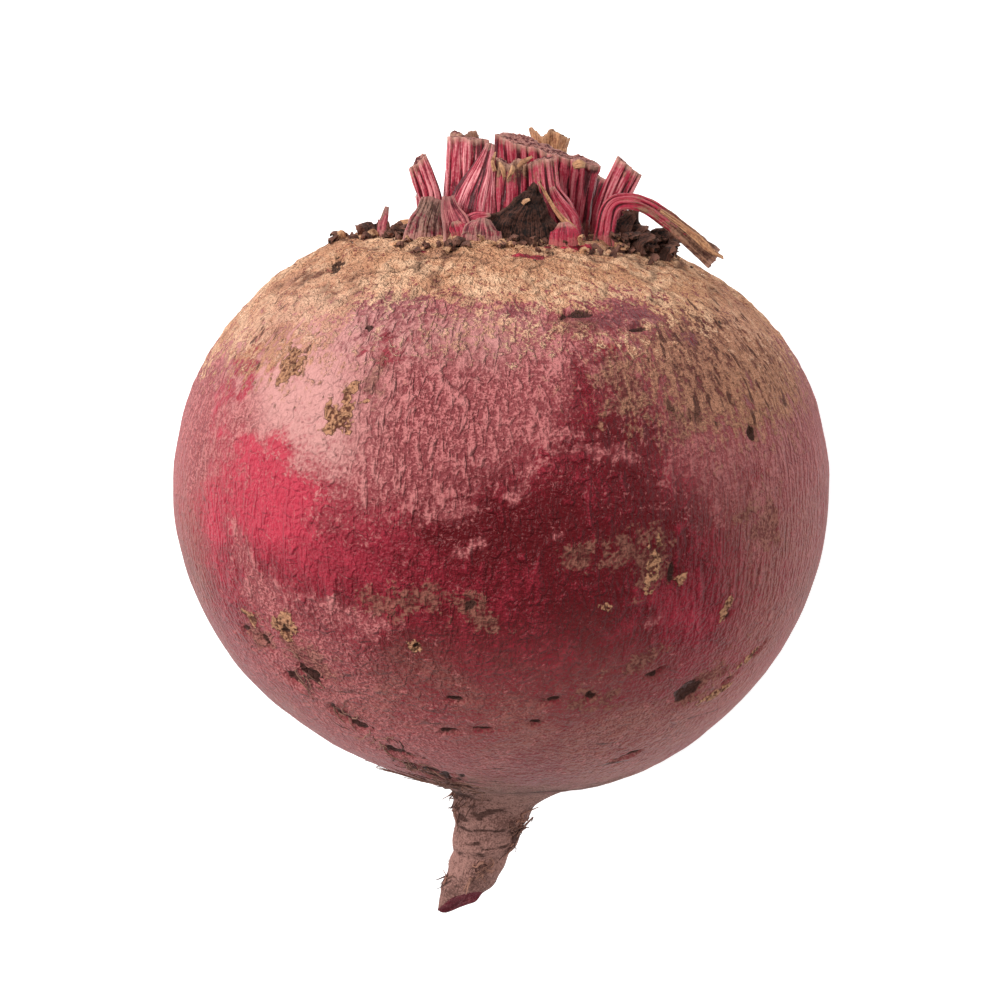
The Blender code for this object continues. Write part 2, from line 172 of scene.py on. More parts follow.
def make_piece(name: str, surfaces: list[Surface], node: str | None = None) -> bpy.types.Object:
    """One mesh object made of closed surfaces, riding on the beet.

    Args:
        name: The piece's name.
        surfaces: Its surfaces, in mm from the beet's axis.
        node: The solid that it stands for, if any.

    Returns:
        The object, at the origin, with its values as point attributes.
    """
    points, faces, count = [], [], 0
    for surface in surfaces:
        faces.append(surface.faces(count))
        points.append(surface.points())
        count += len(points[-1])
    quads, fans = (np.vstack(rows) for rows in zip(*faces))
    placed = (np.vstack(points) + (0.0, 0.0, REST_HEIGHT)) * MM
    mesh = bpy.data.meshes.new(name)
    mesh.vertices.add(count)
    mesh.vertices.foreach_set("co", placed.ravel())
    mesh.loops.add(4 * len(quads) + 3 * len(fans))
    mesh.loops.foreach_set("vertex_index", np.concatenate((quads.ravel(), fans.ravel())))
    mesh.polygons.add(len(quads) + len(fans))
    starts = np.concatenate((4 * np.arange(len(quads)), 4 * len(quads) + 3 * np.arange(len(fans))))
    mesh.polygons.foreach_set("loop_start", starts)
    mesh.update(calc_edges=True)
    mesh.validate()
    mesh.shade_smooth()
    for key in surfaces[0].values:
        rows = np.concatenate([surface.value(key) for surface in surfaces])
        kind, slot_name = ("FLOAT_VECTOR", "vector") if rows.ndim == 2 else ("FLOAT", "value")
        layer = mesh.attributes.new(key, kind, "POINT").data
        layer.foreach_set(slot_name, rows.astype(np.float32).ravel())
    piece = bpy.data.objects.new(name, mesh)
    bpy.context.scene.collection.objects.link(piece)
    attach(piece, BODY)
    if node:
        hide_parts(node)
    log.info("%s: %d points", name, count)
    return piece


# The root


@dataclass(frozen=True)
class Spot:
    """One mark on the skin: a soft ellipse on the surface, ragged by noise.

    right and up place it in mm from the axis and from the widest place, on the
    side that faces up as the beet lies, or on the underside where back is set.
    wide and tall are its half sizes in mm, and turn tilts it in degrees.
    """

    right: float
    up: float
    wide: float
    tall: float
    turn: float = 0.0
    ragged: float = 0.35
    back: bool = False


def spots(*rows: tuple) -> tuple[Spot, ...]:
    """Marks from rows of right, up, wide, tall and, where given, turn and ragged."""
    return tuple(Spot(*row) for row in rows)


@dataclass(frozen=True)
class RootShape:
    """The swollen root's sizes and the formulas that shape it, the same as the solid's."""

    body_radius: float = 45.0
    crown_height: float = 36.6
    lower_height: float = 41.8
    shoulder_power: float = 2.25
    neck_radius: float = 13.0
    tap_top: float = -46.1
    tap_heights: tuple = (-66.0, -53.2, -52.0, -51.2, -49.6, -47.9, -46.1)
    tap_radii: tuple = (3.3, 3.95, 4.0, 4.45, 4.65, 4.95, 5.5)
    lean: float = 3.5
    lean_power: float = 3.6
    tap_offset: float = -0.41
    tap_tilt: float = 0.035
    tap_curl: float = 0.0123
    tap_forward: float = 0.05
    wrinkle_height: float = 0.10
    wrinkle_pitch: float = 3.4
    cut_centre: tuple = (-5.6, -59.4, 1.1)
    cut_normal: tuple = (0.08, -0.84, 0.52)
    collar: tuple = (28.0, 7.0, 1.15)
    brow: tuple = (22.0, 2.2, 0.95)
    scar_centre: float = 1.7
    scar_width: float = 1.5
    scar_rings: tuple = ((15.5, 0.75, 5), (19.5, 0.55, 7), (23.5, 0.35, 9))
    shoulder_start: float = 27.0

    def crown_relief(self, across: Array, depth: Array) -> Array:
        """Height over the plain crown: a collar highest on the left, and broken rings of leaf scars."""
        reach = np.hypot(across, depth)
        left = (0.5 - 0.5 * across / np.maximum(reach, 1.0)) ** 2
        height = np.zeros_like(reach)
        for radius, width, ridge in (self.collar, self.brow):
            height += ridge * left * np.exp(-(((reach - radius) / width) ** 2))
        radius = np.hypot(across - self.scar_centre, depth)
        angle = np.arctan2(depth, across - self.scar_centre)
        for ring, ridge, breaks in self.scar_rings:
            wander = 0.8 * np.sin(2.0 * angle + breaks)
            broken = 0.6 + 0.4 * np.sin(breaks * angle + 2.0 * breaks)
            height += ridge * broken * np.exp(-(((radius - ring - wander) / self.scar_width) ** 2))
        return height

    def crown_top(self, across: Array, depth: Array) -> Array:
        """Height of the crown's surface over the widest place."""
        reach = np.clip(np.hypot(across, depth) / self.body_radius, 0.0, 0.999)
        dome = self.crown_height * (1.0 - reach**self.shoulder_power) ** (1.0 / self.shoulder_power)
        return dome + self.crown_relief(across, depth)

    def outline(self) -> tuple[Array, Array]:
        """Radius and height down the side, from the crown's middle to the top of the tap root."""
        power = 2.0 / self.shoulder_power
        crown = np.concatenate((np.linspace(0.5, 8.0, 8), np.linspace(8.5, self.shoulder_start, 46)))
        top = self.crown_height * (1.0 - (crown / self.body_radius) ** self.shoulder_power) ** (power / 2.0)
        shoulder = math.acos((self.shoulder_start / self.body_radius) ** (self.shoulder_power / 2.0))
        turn = np.linspace(shoulder, 0.0, 52)[1:]
        neck = math.acos(self.neck_radius / self.body_radius)
        lower = np.linspace(0.0, neck, 80)[1:]
        sides = self.body_radius * np.cos(turn) ** power, self.crown_height * np.sin(turn) ** power
        below = self.body_radius * np.cos(lower), -self.lower_height * np.sin(lower)
        radius = np.concatenate((crown, sides[0], below[0]))
        height = np.concatenate((top, sides[1], below[1]))
        start = np.array((radius[-1], height[-1]))
        end = np.array((self.tap_radii[-1], self.tap_top))
        slope = unit(np.array((-self.body_radius * math.sin(neck), -self.lower_height * math.cos(neck))))
        t = np.linspace(0.0, 1.0, 20)[1:, None]
        curve = (1 - t) ** 3 * start + 3 * (1 - t) ** 2 * t * (start + 5.5 * slope)
        curve = curve + 3 * (1 - t) * t**2 * (end + 2.5 * np.array((0.2, 1.0))) + t**3 * end
        return np.concatenate((radius, curve[:, 0])), np.concatenate((height, curve[:, 1]))

    def grown(self, radius: Array, height: Array, angle: Array) -> Array:
        """Places points of the turned root as it grew: lobed, leaning, bent at its tap root and scarred.

        Args:
            radius: Distance from the axis before it grew.
            height: Height over the widest place.
            angle: Angle round the axis, 0 on the right and a quarter turn on top as it lies.

        Returns:
            The points, as (right, towards the crown, up) in mm from the axis.
        """
        across, depth = radius * np.cos(angle), radius * np.sin(angle)
        lobes = 0.007 * np.sin(2.0 * angle + 0.6) + 0.005 * np.sin(3.0 * angle + 2.1)
        lobes += 0.003 * np.sin(5.0 * angle + 3.0 * height / self.body_radius)
        swell = 1.0 + (radius / self.body_radius) ** 4 * lobes
        below = np.clip(-height / 40.0, 0.0, 1.0)
        on_tap = smoothstep((-height - 39.6) / 5.9)
        drop = np.clip(-height - 40.0, 0.0, None)
        bend = self.tap_offset - self.tap_tilt * drop - self.tap_curl * drop**2
        ripple = np.sin(2.0 * math.pi * height / self.wrinkle_pitch + 0.9 * np.sin(angle + 0.5))
        swell = swell + on_tap * self.wrinkle_height * ripple / np.maximum(radius, 1.0)
        right = across * swell + (1.0 - on_tap) * self.lean * below**self.lean_power + on_tap * bend
        top = height + np.where(height > 0.0, self.crown_relief(across, depth), 0.0)
        return np.stack((right, top, depth * swell + on_tap * self.tap_forward * drop), axis=-1)


@dataclass(frozen=True)
class Marks:
    """The marks listed one by one on the side that faces up."""

    scabs: tuple[Spot, ...] = spots(
        (-26.9, 21.4, 1.9, 2.6, 30, 0.7), (-20.3, 15.6, 2.1, 2.2, -20, 0.7),
        (-18.9, 18.4, 0.7, 1.6, -25, 0.5), (-16.6, 17.4, 0.9, 0.5, 20), (-32, -12.2, 1.8, 1.2, -35, 0.6),
        (-27.9, -11.8, 1.9, 2.2, 0, 0.5), (-10.4, -12.5, 1, 1, 0, 0.2), (13.2, -7.2, 0.8, 0.6, 0, 0.3),
        (32.2, -18.6, 3.4, 0.7, 40, 0.7), (28.6, -22.4, 2.6, 0.9, 35, 0.7), (29, -10, 0.6, 2.2, -20, 0.5),
        (19, -2.2, 1, 3, -6, 0.8), (22.4, -4.6, 0.8, 0.8, 0, 0.4),
    )
    hollows: tuple[Spot, ...] = spots(
        (21.2, -4.2, 0.6, 1.3), (23.9, -21.2, 2.4, 1.7, 40, 0.3), (-27.6, -12.3, 0.8, 0.8, 0, 0.6),
        (-10.4, -12.5, 0.45, 0.5), (-3.6, -6.4, 0.9, 0.7, 0, 0.6), (-33.2, -13.6, 0.9, 0.5, -35, 0.5),
        (-30.4, -15.2, 1.6, 0.5, -50, 0.5), (-24.6, -18.8, 1.5, 1.1, -25, 0.8),
        (-26.6, -20.4, 1.4, 0.9, -30, 0.8), (-19.5, -25.1, 3.6, 0.7, -38, 0.8),
        (-13.1, -30.4, 2.6, 1.1, -30, 0.8), (-9, -33.6, 3, 0.9, -30, 0.8),
        (-7.6, -35.4, 2.6, 1, -35, 0.9), (-5.6, -37.2, 2.2, 1.1, -45, 0.9),
        (-5.7, -20.2, 1.3, 0.3, -5, 0.3), (-6.4, -25.4, 1.5, 0.25, 6, 0.3),
        (-2, -24.4, 1.2, 0.25, -4, 0.3), (6.5, -19.8, 1.3, 0.4, 12, 0.6), (11.5, -20.4, 0.9, 0.7, 0, 0.8),
        (4.4, -23.6, 0.8, 0.3, 5, 0.3), (19, -17.5, 1.6, 0.3, 25, 0.5), (30.3, -20.6, 1.9, 0.35, 42, 0.5),
        (34.3, -17.2, 1.3, 0.3, 45, 0.4), (16.5, -31, 2.2, 0.45, 22, 0.6),
        (29.4, -10.7, 1.1, 0.25, 60, 0.3), (-21.3, 32.6, 0.8, 2.6, 52, 0.5),
        (-16.4, 26.4, 0.5, 0.8, 20, 0.4), (9.5, 27.6, 2.4, 0.5, 8, 0.7), (17.6, 26, 2, 0.25, 12, 0.3),
        (32.4, 12.6, 0.8, 0.9, 0, 0.8),
    )
    purple: tuple[Spot, ...] = spots(
        (-13, 27.6, 7, 3.2, 14, 0.9), (2.6, 28.4, 3, 1.6, 0, 0.9), (15.5, 27.6, 4.2, 2.6, -10, 0.9),
        (11, 27.2, 4.4, 2, -5, 0.8), (24.5, 24.4, 2.6, 2.2, -40, 0.9), (31.5, 18.4, 2, 3, -35, 0.9),
    )
    blush: tuple[Spot, ...] = spots(
        (-32.2, 20.8, 3.4, 5, 25, 0.9), (-36, 15.8, 2.4, 4.6, 20, 0.9), (-14, 23.2, 3.2, 2, -10, 0.9),
        (-30.5, 9, 5.6, 5, 0, 0.5), (-29, 2.5, 8, 5.6, 0, 0.4), (-21, -2.4, 8, 3.4, 0, 0.5),
        (-37.4, -0.4, 2.6, 6, 0, 0.5), (10.6, 19, 1.2, 5, 0, 0.8), (13, 23.6, 2.4, 1.4, 0, 0.9),
        (32.6, 7.2, 2.4, 1.8, 0, 0.8),
    )
    raw: tuple[Spot, ...] = spots(
        (3.8, 34.2, 3.4, 0.7, 0, 0.5), (9.6, 35.2, 3, 2, 0, 0.6), (-10.6, 34.4, 1.2, 0.8, 0, 0.7),
    )
    flaky: tuple[Spot, ...] = spots(
        (-38.8, 8.4, 1.9, 3.2, 5, 0.9), (-40.4, 4.4, 1.4, 3, 5, 0.9), (-34.2, -1.4, 1.7, 2.4, 25, 0.9),
        (-32.4, -6.4, 3.2, 3.2, 20, 0.9), (-29.8, -9, 3.4, 2, 0, 0.9), (-19.5, -9.6, 6.4, 1.5, -12, 0.9),
        (-31, 14.8, 4.6, 2.6, 0, 0.8), (3.1, 10.6, 0.6, 1.2, 10, 0.8), (2, 6.8, 1, 1.5, 15, 0.9),
        (12.6, 12.2, 4, 0.9, -12, 1), (4, 14.4, 5, 0.8, -4, 1), (-7, 4.2, 3, 0.8, 20, 1),
        (-4.4, 0.4, 2.6, 0.7, 20, 1), (7.6, 2.4, 1.6, 0.9, 20, 0.9), (34, 0.4, 1.6, 4, 0, 0.9),
        (19.6, -9.6, 2, 1.2, 40, 1),
    )
    earth: tuple[Spot, ...] = spots(
        (9.8, -0.4, 2, 1.4, 10, 0.9), (16.2, -0.6, 3.2, 2.4, -10, 0.9), (19, -2.2, 2, 3.6, -6, 0.8),
        (-13.6, -6.4, 3.8, 1.7, 5, 0.9), (-9.2, -5.6, 1.8, 1.8, 0, 0.9), (-4.3, -6.8, 2.2, 1.3, 0, 0.9),
        (-2.5, -8.6, 3, 1.2, -20, 0.9), (15.4, 19.4, 2.6, 4.6, 10, 0.8), (23.2, 14.6, 2.8, 1.9, 10, 0.8),
        (9.6, 26.6, 4, 1.7, 0, 0.8), (-15.4, 20.4, 1.2, 2.8, 0, 0.8), (-24.5, -17, 5, 2.6, -40, 0.7),
        (-31.5, -14, 3, 2.4, -40, 0.8), (26.5, -20.4, 5.4, 2, 38, 0.8), (18, -15.4, 3.2, 1.2, 25, 0.9),
        (11.6, -20.4, 2.6, 1.6, 0, 0.9), (33.6, 1, 3.4, 3.4, 0, 0.9),
    )


@dataclass
class RootSkin:
    """The swollen root, its crown and its tap root, as one closed surface with masks for its finish."""

    shape: RootShape
    marks: Marks
    columns: int = 400
    tap_rows: int = 36
    seed: int = 7
    cut_round: float = 1.0
    cork_heights: dict = field(default_factory=lambda: {
        0: 21.0, 30: 26.0, 55: 29.0, 75: 28.5, 90: 28.0, 110: 28.5, 125: 27.5, 145: 25.0, 165: 22.0,
        180: 21.0, 225: 25.0, 270: 23.0, 315: 26.0, 360: 20.0,
    })

    def cut_rows(self, angle: Array) -> Array:
        """Heights down the tap root that end where each line down it meets the slanted cut."""
        tries = np.linspace(self.shape.tap_top, self.shape.tap_heights[0], 500)[:, None]
        radius = np.interp(tries, self.shape.tap_heights, self.shape.tap_radii)
        place = self.shape.grown(radius + 0.0 * angle, tries + 0.0 * angle, angle + 0.0 * tries)
        beyond = (place - np.array(self.shape.cut_centre)) @ np.array(self.shape.cut_normal) > 0.0
        last = tries[beyond.argmax(axis=0), 0]
        step = np.linspace(0.0, 1.0, self.tap_rows)[1:, None]
        return self.shape.tap_top + (last - self.shape.tap_top) * step

    def grid(self) -> tuple[Array, Array, Array, Array]:
        """The points as grown, with their radius, height and angle before they grew."""
        angle = np.linspace(0.0, 2.0 * math.pi, self.columns, endpoint=False)[None, :]
        radius, height = self.shape.outline()
        heights = np.vstack((np.repeat(height[:, None], self.columns, axis=1), self.cut_rows(angle[0])))
        tap = np.interp(heights[len(height) :], self.shape.tap_heights, self.shape.tap_radii)
        radii = np.vstack((np.repeat(radius[:, None], self.columns, axis=1), tap))
        angles = np.repeat(angle, len(heights), axis=0)
        return self.shape.grown(radii, heights, angles), radii, heights, angles

    def mark(self, points: Array, normals: Array, spot: Spot) -> Array:
        """How far each point lies within a mark: 1 in its middle, 0 well outside it."""
        facing = -1.0 if spot.back else 1.0
        plan = np.hypot(points[..., 0] - spot.right, points[..., 1] - spot.up)
        plan += 2.0 * self.shape.body_radius * (points[..., 2] * facing < 0.0)
        row, column = np.unravel_index(plan.argmin(), plan.shape)
        centre, normal = points[row, column], normals[row, column]
        sideways = unit(np.cross(np.array((0.0, 1.0, 0.0)), normal))
        upwards = np.cross(normal, sideways)
        turn = math.radians(spot.turn)
        first = math.cos(turn) * sideways + math.sin(turn) * upwards
        second = math.cos(turn) * upwards - math.sin(turn) * sideways
        away = points - centre
        axes = np.stack((first / spot.wide, second / spot.tall, normal / 6.0), axis=-1)
        reach = np.linalg.norm(away @ axes, axis=-1)
        found, close = np.zeros(reach.shape), reach < 3.2
        rough = noise(points[close], max(1.0, 0.6 * min(spot.wide, spot.tall)), 5, 2) * spot.ragged
        found[close] = smoothstep(1.25 - 0.8 * (reach[close] + 1.6 * rough))
        return found

    def marked(self, points: Array, normals: Array, spots: tuple[Spot, ...]) -> Array:
        """The strongest of several marks at each point."""
        found = np.zeros(points.shape[:2])
        for spot in spots:
            found = np.maximum(found, self.mark(points, normals, spot))
        return found

    def strewn(
        self, count: int, rng: np.random.Generator, low: float, high: float, size: float
    ) -> tuple[Spot, ...]:
        """Marks scattered over the side that the beet rests on, size being their usual half width."""
        found = []
        for _ in range(count):
            right, up = rng.uniform(-34, 34), rng.uniform(low, high)
            wide, tall = size * rng.uniform(0.4, 1.6), size * rng.uniform(0.3, 1.1)
            found.append(Spot(right, up, wide, tall, rng.uniform(-60, 60), rng.uniform(0.6, 1.0), True))
        return tuple(found)

    def masks(self, points: Array, normals: Array, heights: Array, angles: Array) -> dict[str, Array]:
        """How much each finish covers the skin, from 0 to 1.

        Cork covers the crown and thins out in flakes below it. Dust lies on
        the ridges of the upper skin, and a smooth earthy film on the lower
        skin and towards both sides. The belt between them is clean and red.
        """
        rng = np.random.default_rng(self.seed)
        broad, middle = noise(points, 16.0, 1, 2), noise(points, 5.0, 2, 2)
        front, right = smoothstep(2.5 * np.sin(angles) + 0.5), points[..., 0]

        def near(place_right: float, place_up: float, wide: float, tall: float) -> Array:
            """A soft round patch on the side that faces up, 1 in its middle."""
            away = ((right - place_right) / wide) ** 2 + ((heights - place_up) / tall) ** 2
            return np.exp(-away) * front

        def band(angle: float, height: float, wide: float, tall: float) -> Array:
            """A soft patch round an angle and a height, 1 in its middle."""
            return np.exp(-(((angles - angle) / wide) ** 2 + ((heights - height) / tall) ** 2))

        edge = np.interp(angles, np.radians(list(self.cork_heights)), list(self.cork_heights.values()))
        cork = smoothstep((heights + 1.5 * broad + 1.5 * middle - edge) / 15.0 + 0.6)
        fine = noise(points, 2.4, 3, 2)
        belt = np.exp(-(((heights + 4.0 + 3.0 * broad - 0.05 * right) / 12.0) ** 2))
        centre, glow = near(9.0, 8.0, 18.0, 16.0), near(-33.0, 5.5, 12.0, 9.5)
        clean = np.clip(0.42 * belt + 0.72 * centre + 0.45 * glow, 0.0, 1.0)
        dusty = smoothstep((heights + 18.0) / 42.0) * (0.92 + 0.16 * broad + 0.12 * middle) + 0.10 * fine
        dusty += 0.28 * near(-7.0, 19.0, 15.0, 9.0) + 0.60 * near(-26.0, -15.0, 12.0, 9.0)
        dusty += 0.24 * near(27.0, 10.0, 7.0, 8.0) + 0.44 * near(-13.0, -30.0, 14.0, 7.0)
        dusty -= 0.46 * near(15.0, 18.0, 12.0, 9.0)
        glow_right, smooth_left = near(25.0, -9.0, 6.0, 7.0), near(-24.0, 15.5, 8.0, 9.0)
        under_crust, creased = near(-5.0, 25.5, 12.0, 4.0), near(-10.0, 16.0, 11.0, 13.0)
        low = smoothstep((-heights - 6.0 + 3.0 * broad) / 20.0)
        rims = np.maximum(smoothstep((right - 21.0) / 14.0), 0.9 * smoothstep((-right - 33.0) / 8.0))
        rims = np.maximum(rims * front, 0.5 * (1.0 - front) * (1.0 + 0.6 * broad))
        strewn = {"purple": (8, 18, 30, 4.0), "blush": (9, -6, 22, 5.0), "flaky": (12, -12, 18, 2.6),
                  "earth": (12, -24, 24, 3.4), "scabs": (16, -32, 22, 1.8), "hollows": (14, -32, 14, 1.1)}
        marked = {}
        for kind, (count, *place) in strewn.items():
            all_marks = getattr(self.marks, kind) + self.strewn(count, rng, *place)
            marked[kind] = self.marked(points, normals, all_marks)
        purple, blush = marked["purple"], marked["blush"]
        veil = 1.1 * band(0.66, 21.5, 0.52, 10.0) + 0.75 * band(2.55, 24.0, 0.5, 6.5)
        veil += 0.5 * (1.0 - front) * np.exp(-(((heights - 22.0) / 7.0) ** 2))
        bloom = (0.22 + dusty - 0.62 * clean) * (1.0 - 0.6 * blush) * (1.0 - 0.5 * purple)
        bloom = 0.13 + 0.74 * np.clip(bloom + 0.5 * marked["flaky"], 0.0, 1.0)
        film = np.maximum(0.9 * low, 0.7 * rims) - 0.35 * blush - 0.4 * glow_right
        deep = 0.80 + 0.45 * centre - 0.84 * glow - 0.3 * glow_right - 0.28 * blush + 0.15 * broad
        edge_tan = (right < 0.0) + 0.8 * smoothstep((right - 24.0) / 8.0)
        scar_reach = np.hypot(right - self.shape.scar_centre, points[..., 2])
        crack_lines = 1.0 - np.abs(noise(points * (0.5, 1.0, 0.5), 4.2, 25, 3)) / 0.07
        return {
            "cork": np.clip(cork - 0.42 * purple, 0.0, 1.0),
            "bloom": bloom,
            "deep": np.clip(deep, 0.0, 1.0),
            "pale": np.clip(smooth_left + 0.6 * veil * edge_tan * front + 0.55 * under_crust, 0.0, 1.0),
            "furrowed": np.clip(0.5 + 0.5 * broad + 0.7 * creased - 0.8 * smooth_left - low, 0.0, 1.0),
            "film": np.clip(film, 0.0, 1.0),
            "rim": rims * front,
            "veil": np.clip(veil - 0.3 * purple, 0.0, 1.0),
            "purple": purple,
            "earth": marked["earth"],
            "threads": smoothstep((right - 8.0) / 16.0) * smoothstep((heights + 20.0) / 16.0) * front,
            "mat": band(2.7, -41.3, 0.5, 2.4),
            "raw": self.marked(points, normals, self.marks.raw),
            "soil": smoothstep((-heights - 12.0 + 4.0 * broad) / 16.0) * (heights > -44.0),
            "scab": marked["scabs"],
            "hollow": marked["hollows"],
            "tap": smoothstep((-heights - 29.5 + 1.5 * middle) / 14.0),
            # The crown floor among the stalks, which the finish darkens with painted shade.
            "between": smoothstep((14.5 + 1.5 * middle - scar_reach) / 3.0) * (heights > 0),
            "crack": np.clip(crack_lines, 0.0, 1.0) * cork * smoothstep((heights - 26.0) / 4.0),
        }

    def relief(self, points: Array, masks: dict[str, Array], flow: Array) -> Array:
        """Height of the skin's uneven forms in mm: lumps, corky crust, cracks, scabs and hollows."""
        height = 0.4 * noise(points, 17.0, 21, 2) * (1.0 - 0.7 * masks["tap"])
        height += 0.10 * noise(points, 4.5, 22, 2)
        crust = noise(points, 2.6, 23, 3)
        grooves = noise(flow * (1.0, 1.0, 0.18), 1.5, 27, 2)
        crumbs = noise(points, 1.5, 30, 2)
        height += masks["cork"] * (0.16 * crust + 0.26 * crumbs + 0.14 * grooves)
        height -= 0.35 * masks["crack"] * (0.6 + 0.4 * crust)
        height += 0.20 * masks["furrowed"] * masks["bloom"] * grooves
        height += 0.10 * masks["bloom"] * crumbs
        height += masks["scab"] * (0.14 + 0.30 * crust) - 0.7 * masks["hollow"]
        height += (0.10 * masks["soil"] + 0.12 * masks["earth"]) * crust
        height += masks["tap"] * 0.08 * noise(flow * (0.3, 0.3, 1.0), 1.4, 28, 2)
        height += masks["tap"] * 0.14 * noise(points, 2.8, 29, 2)
        height += masks["mat"] * (1.0 + 0.7 * crumbs)
        return height + 0.5 * masks["between"] * crust

    def build(self) -> bpy.types.Object:
        """Works the whole root out on its grid and closes it with the cut end of the tap root."""
        points, radii, heights, angles = self.grid()
        normals = ring_normals(points)
        masks = self.masks(points, normals, heights, angles)
        steps = np.linalg.norm(np.diff(points, axis=0, prepend=points[:1]), axis=-1)
        travelled = np.cumsum(steps, axis=0).mean(axis=1, keepdims=True) + 0.0 * angles
        spread = np.sqrt(radii * self.shape.body_radius)
        flow = np.stack((np.cos(angles) * spread, np.sin(angles) * spread, travelled), axis=-1)
        above_cut = heights - heights[-1:]
        rounded = self.cut_round * (1.0 - smoothstep(above_cut / 3.2)) ** 1.5
        relief = self.relief(points, masks, flow) * smoothstep(above_cut / 0.8) - rounded
        points = points + normals * relief[..., None]
        rim = points[-1:]
        middle = rim.mean(axis=1, keepdims=True)
        shrink = np.array((0.97, 0.8, 0.6, 0.4, 0.2))[:, None, None]
        face = middle + (rim - middle) * shrink
        normal = unit(np.array(self.shape.cut_normal))
        rough = noise(face, 1.3, 31, 2) * 0.18
        face = face + normal * (rough * np.array((0.3, 1.0, 1.0, 1.0, 1.0))[:, None])[..., None]
        points = np.concatenate((points, face))
        points[..., 2] = np.maximum(points[..., 2], -REST_HEIGHT)
        values = {}
        for key, mask in masks.items():
            values[key] = np.vstack((mask, np.repeat(mask[-1:], len(face), axis=0)))
        ring = np.concatenate((np.zeros(len(masks["cork"])), 1.0 - shrink[:, 0, 0] + 0.001))
        values["cut"] = np.repeat(ring[:, None], self.columns, axis=1)
        values["flow"] = np.concatenate((flow, np.repeat(flow[-1:], len(face), axis=0)))
        start = points[0].mean(axis=0, keepdims=True)
        end = points[-1].mean(axis=0, keepdims=True)
        return make_piece("beet_root", [Surface(points, start, end, values)], "root")


# The crown of cut stalks


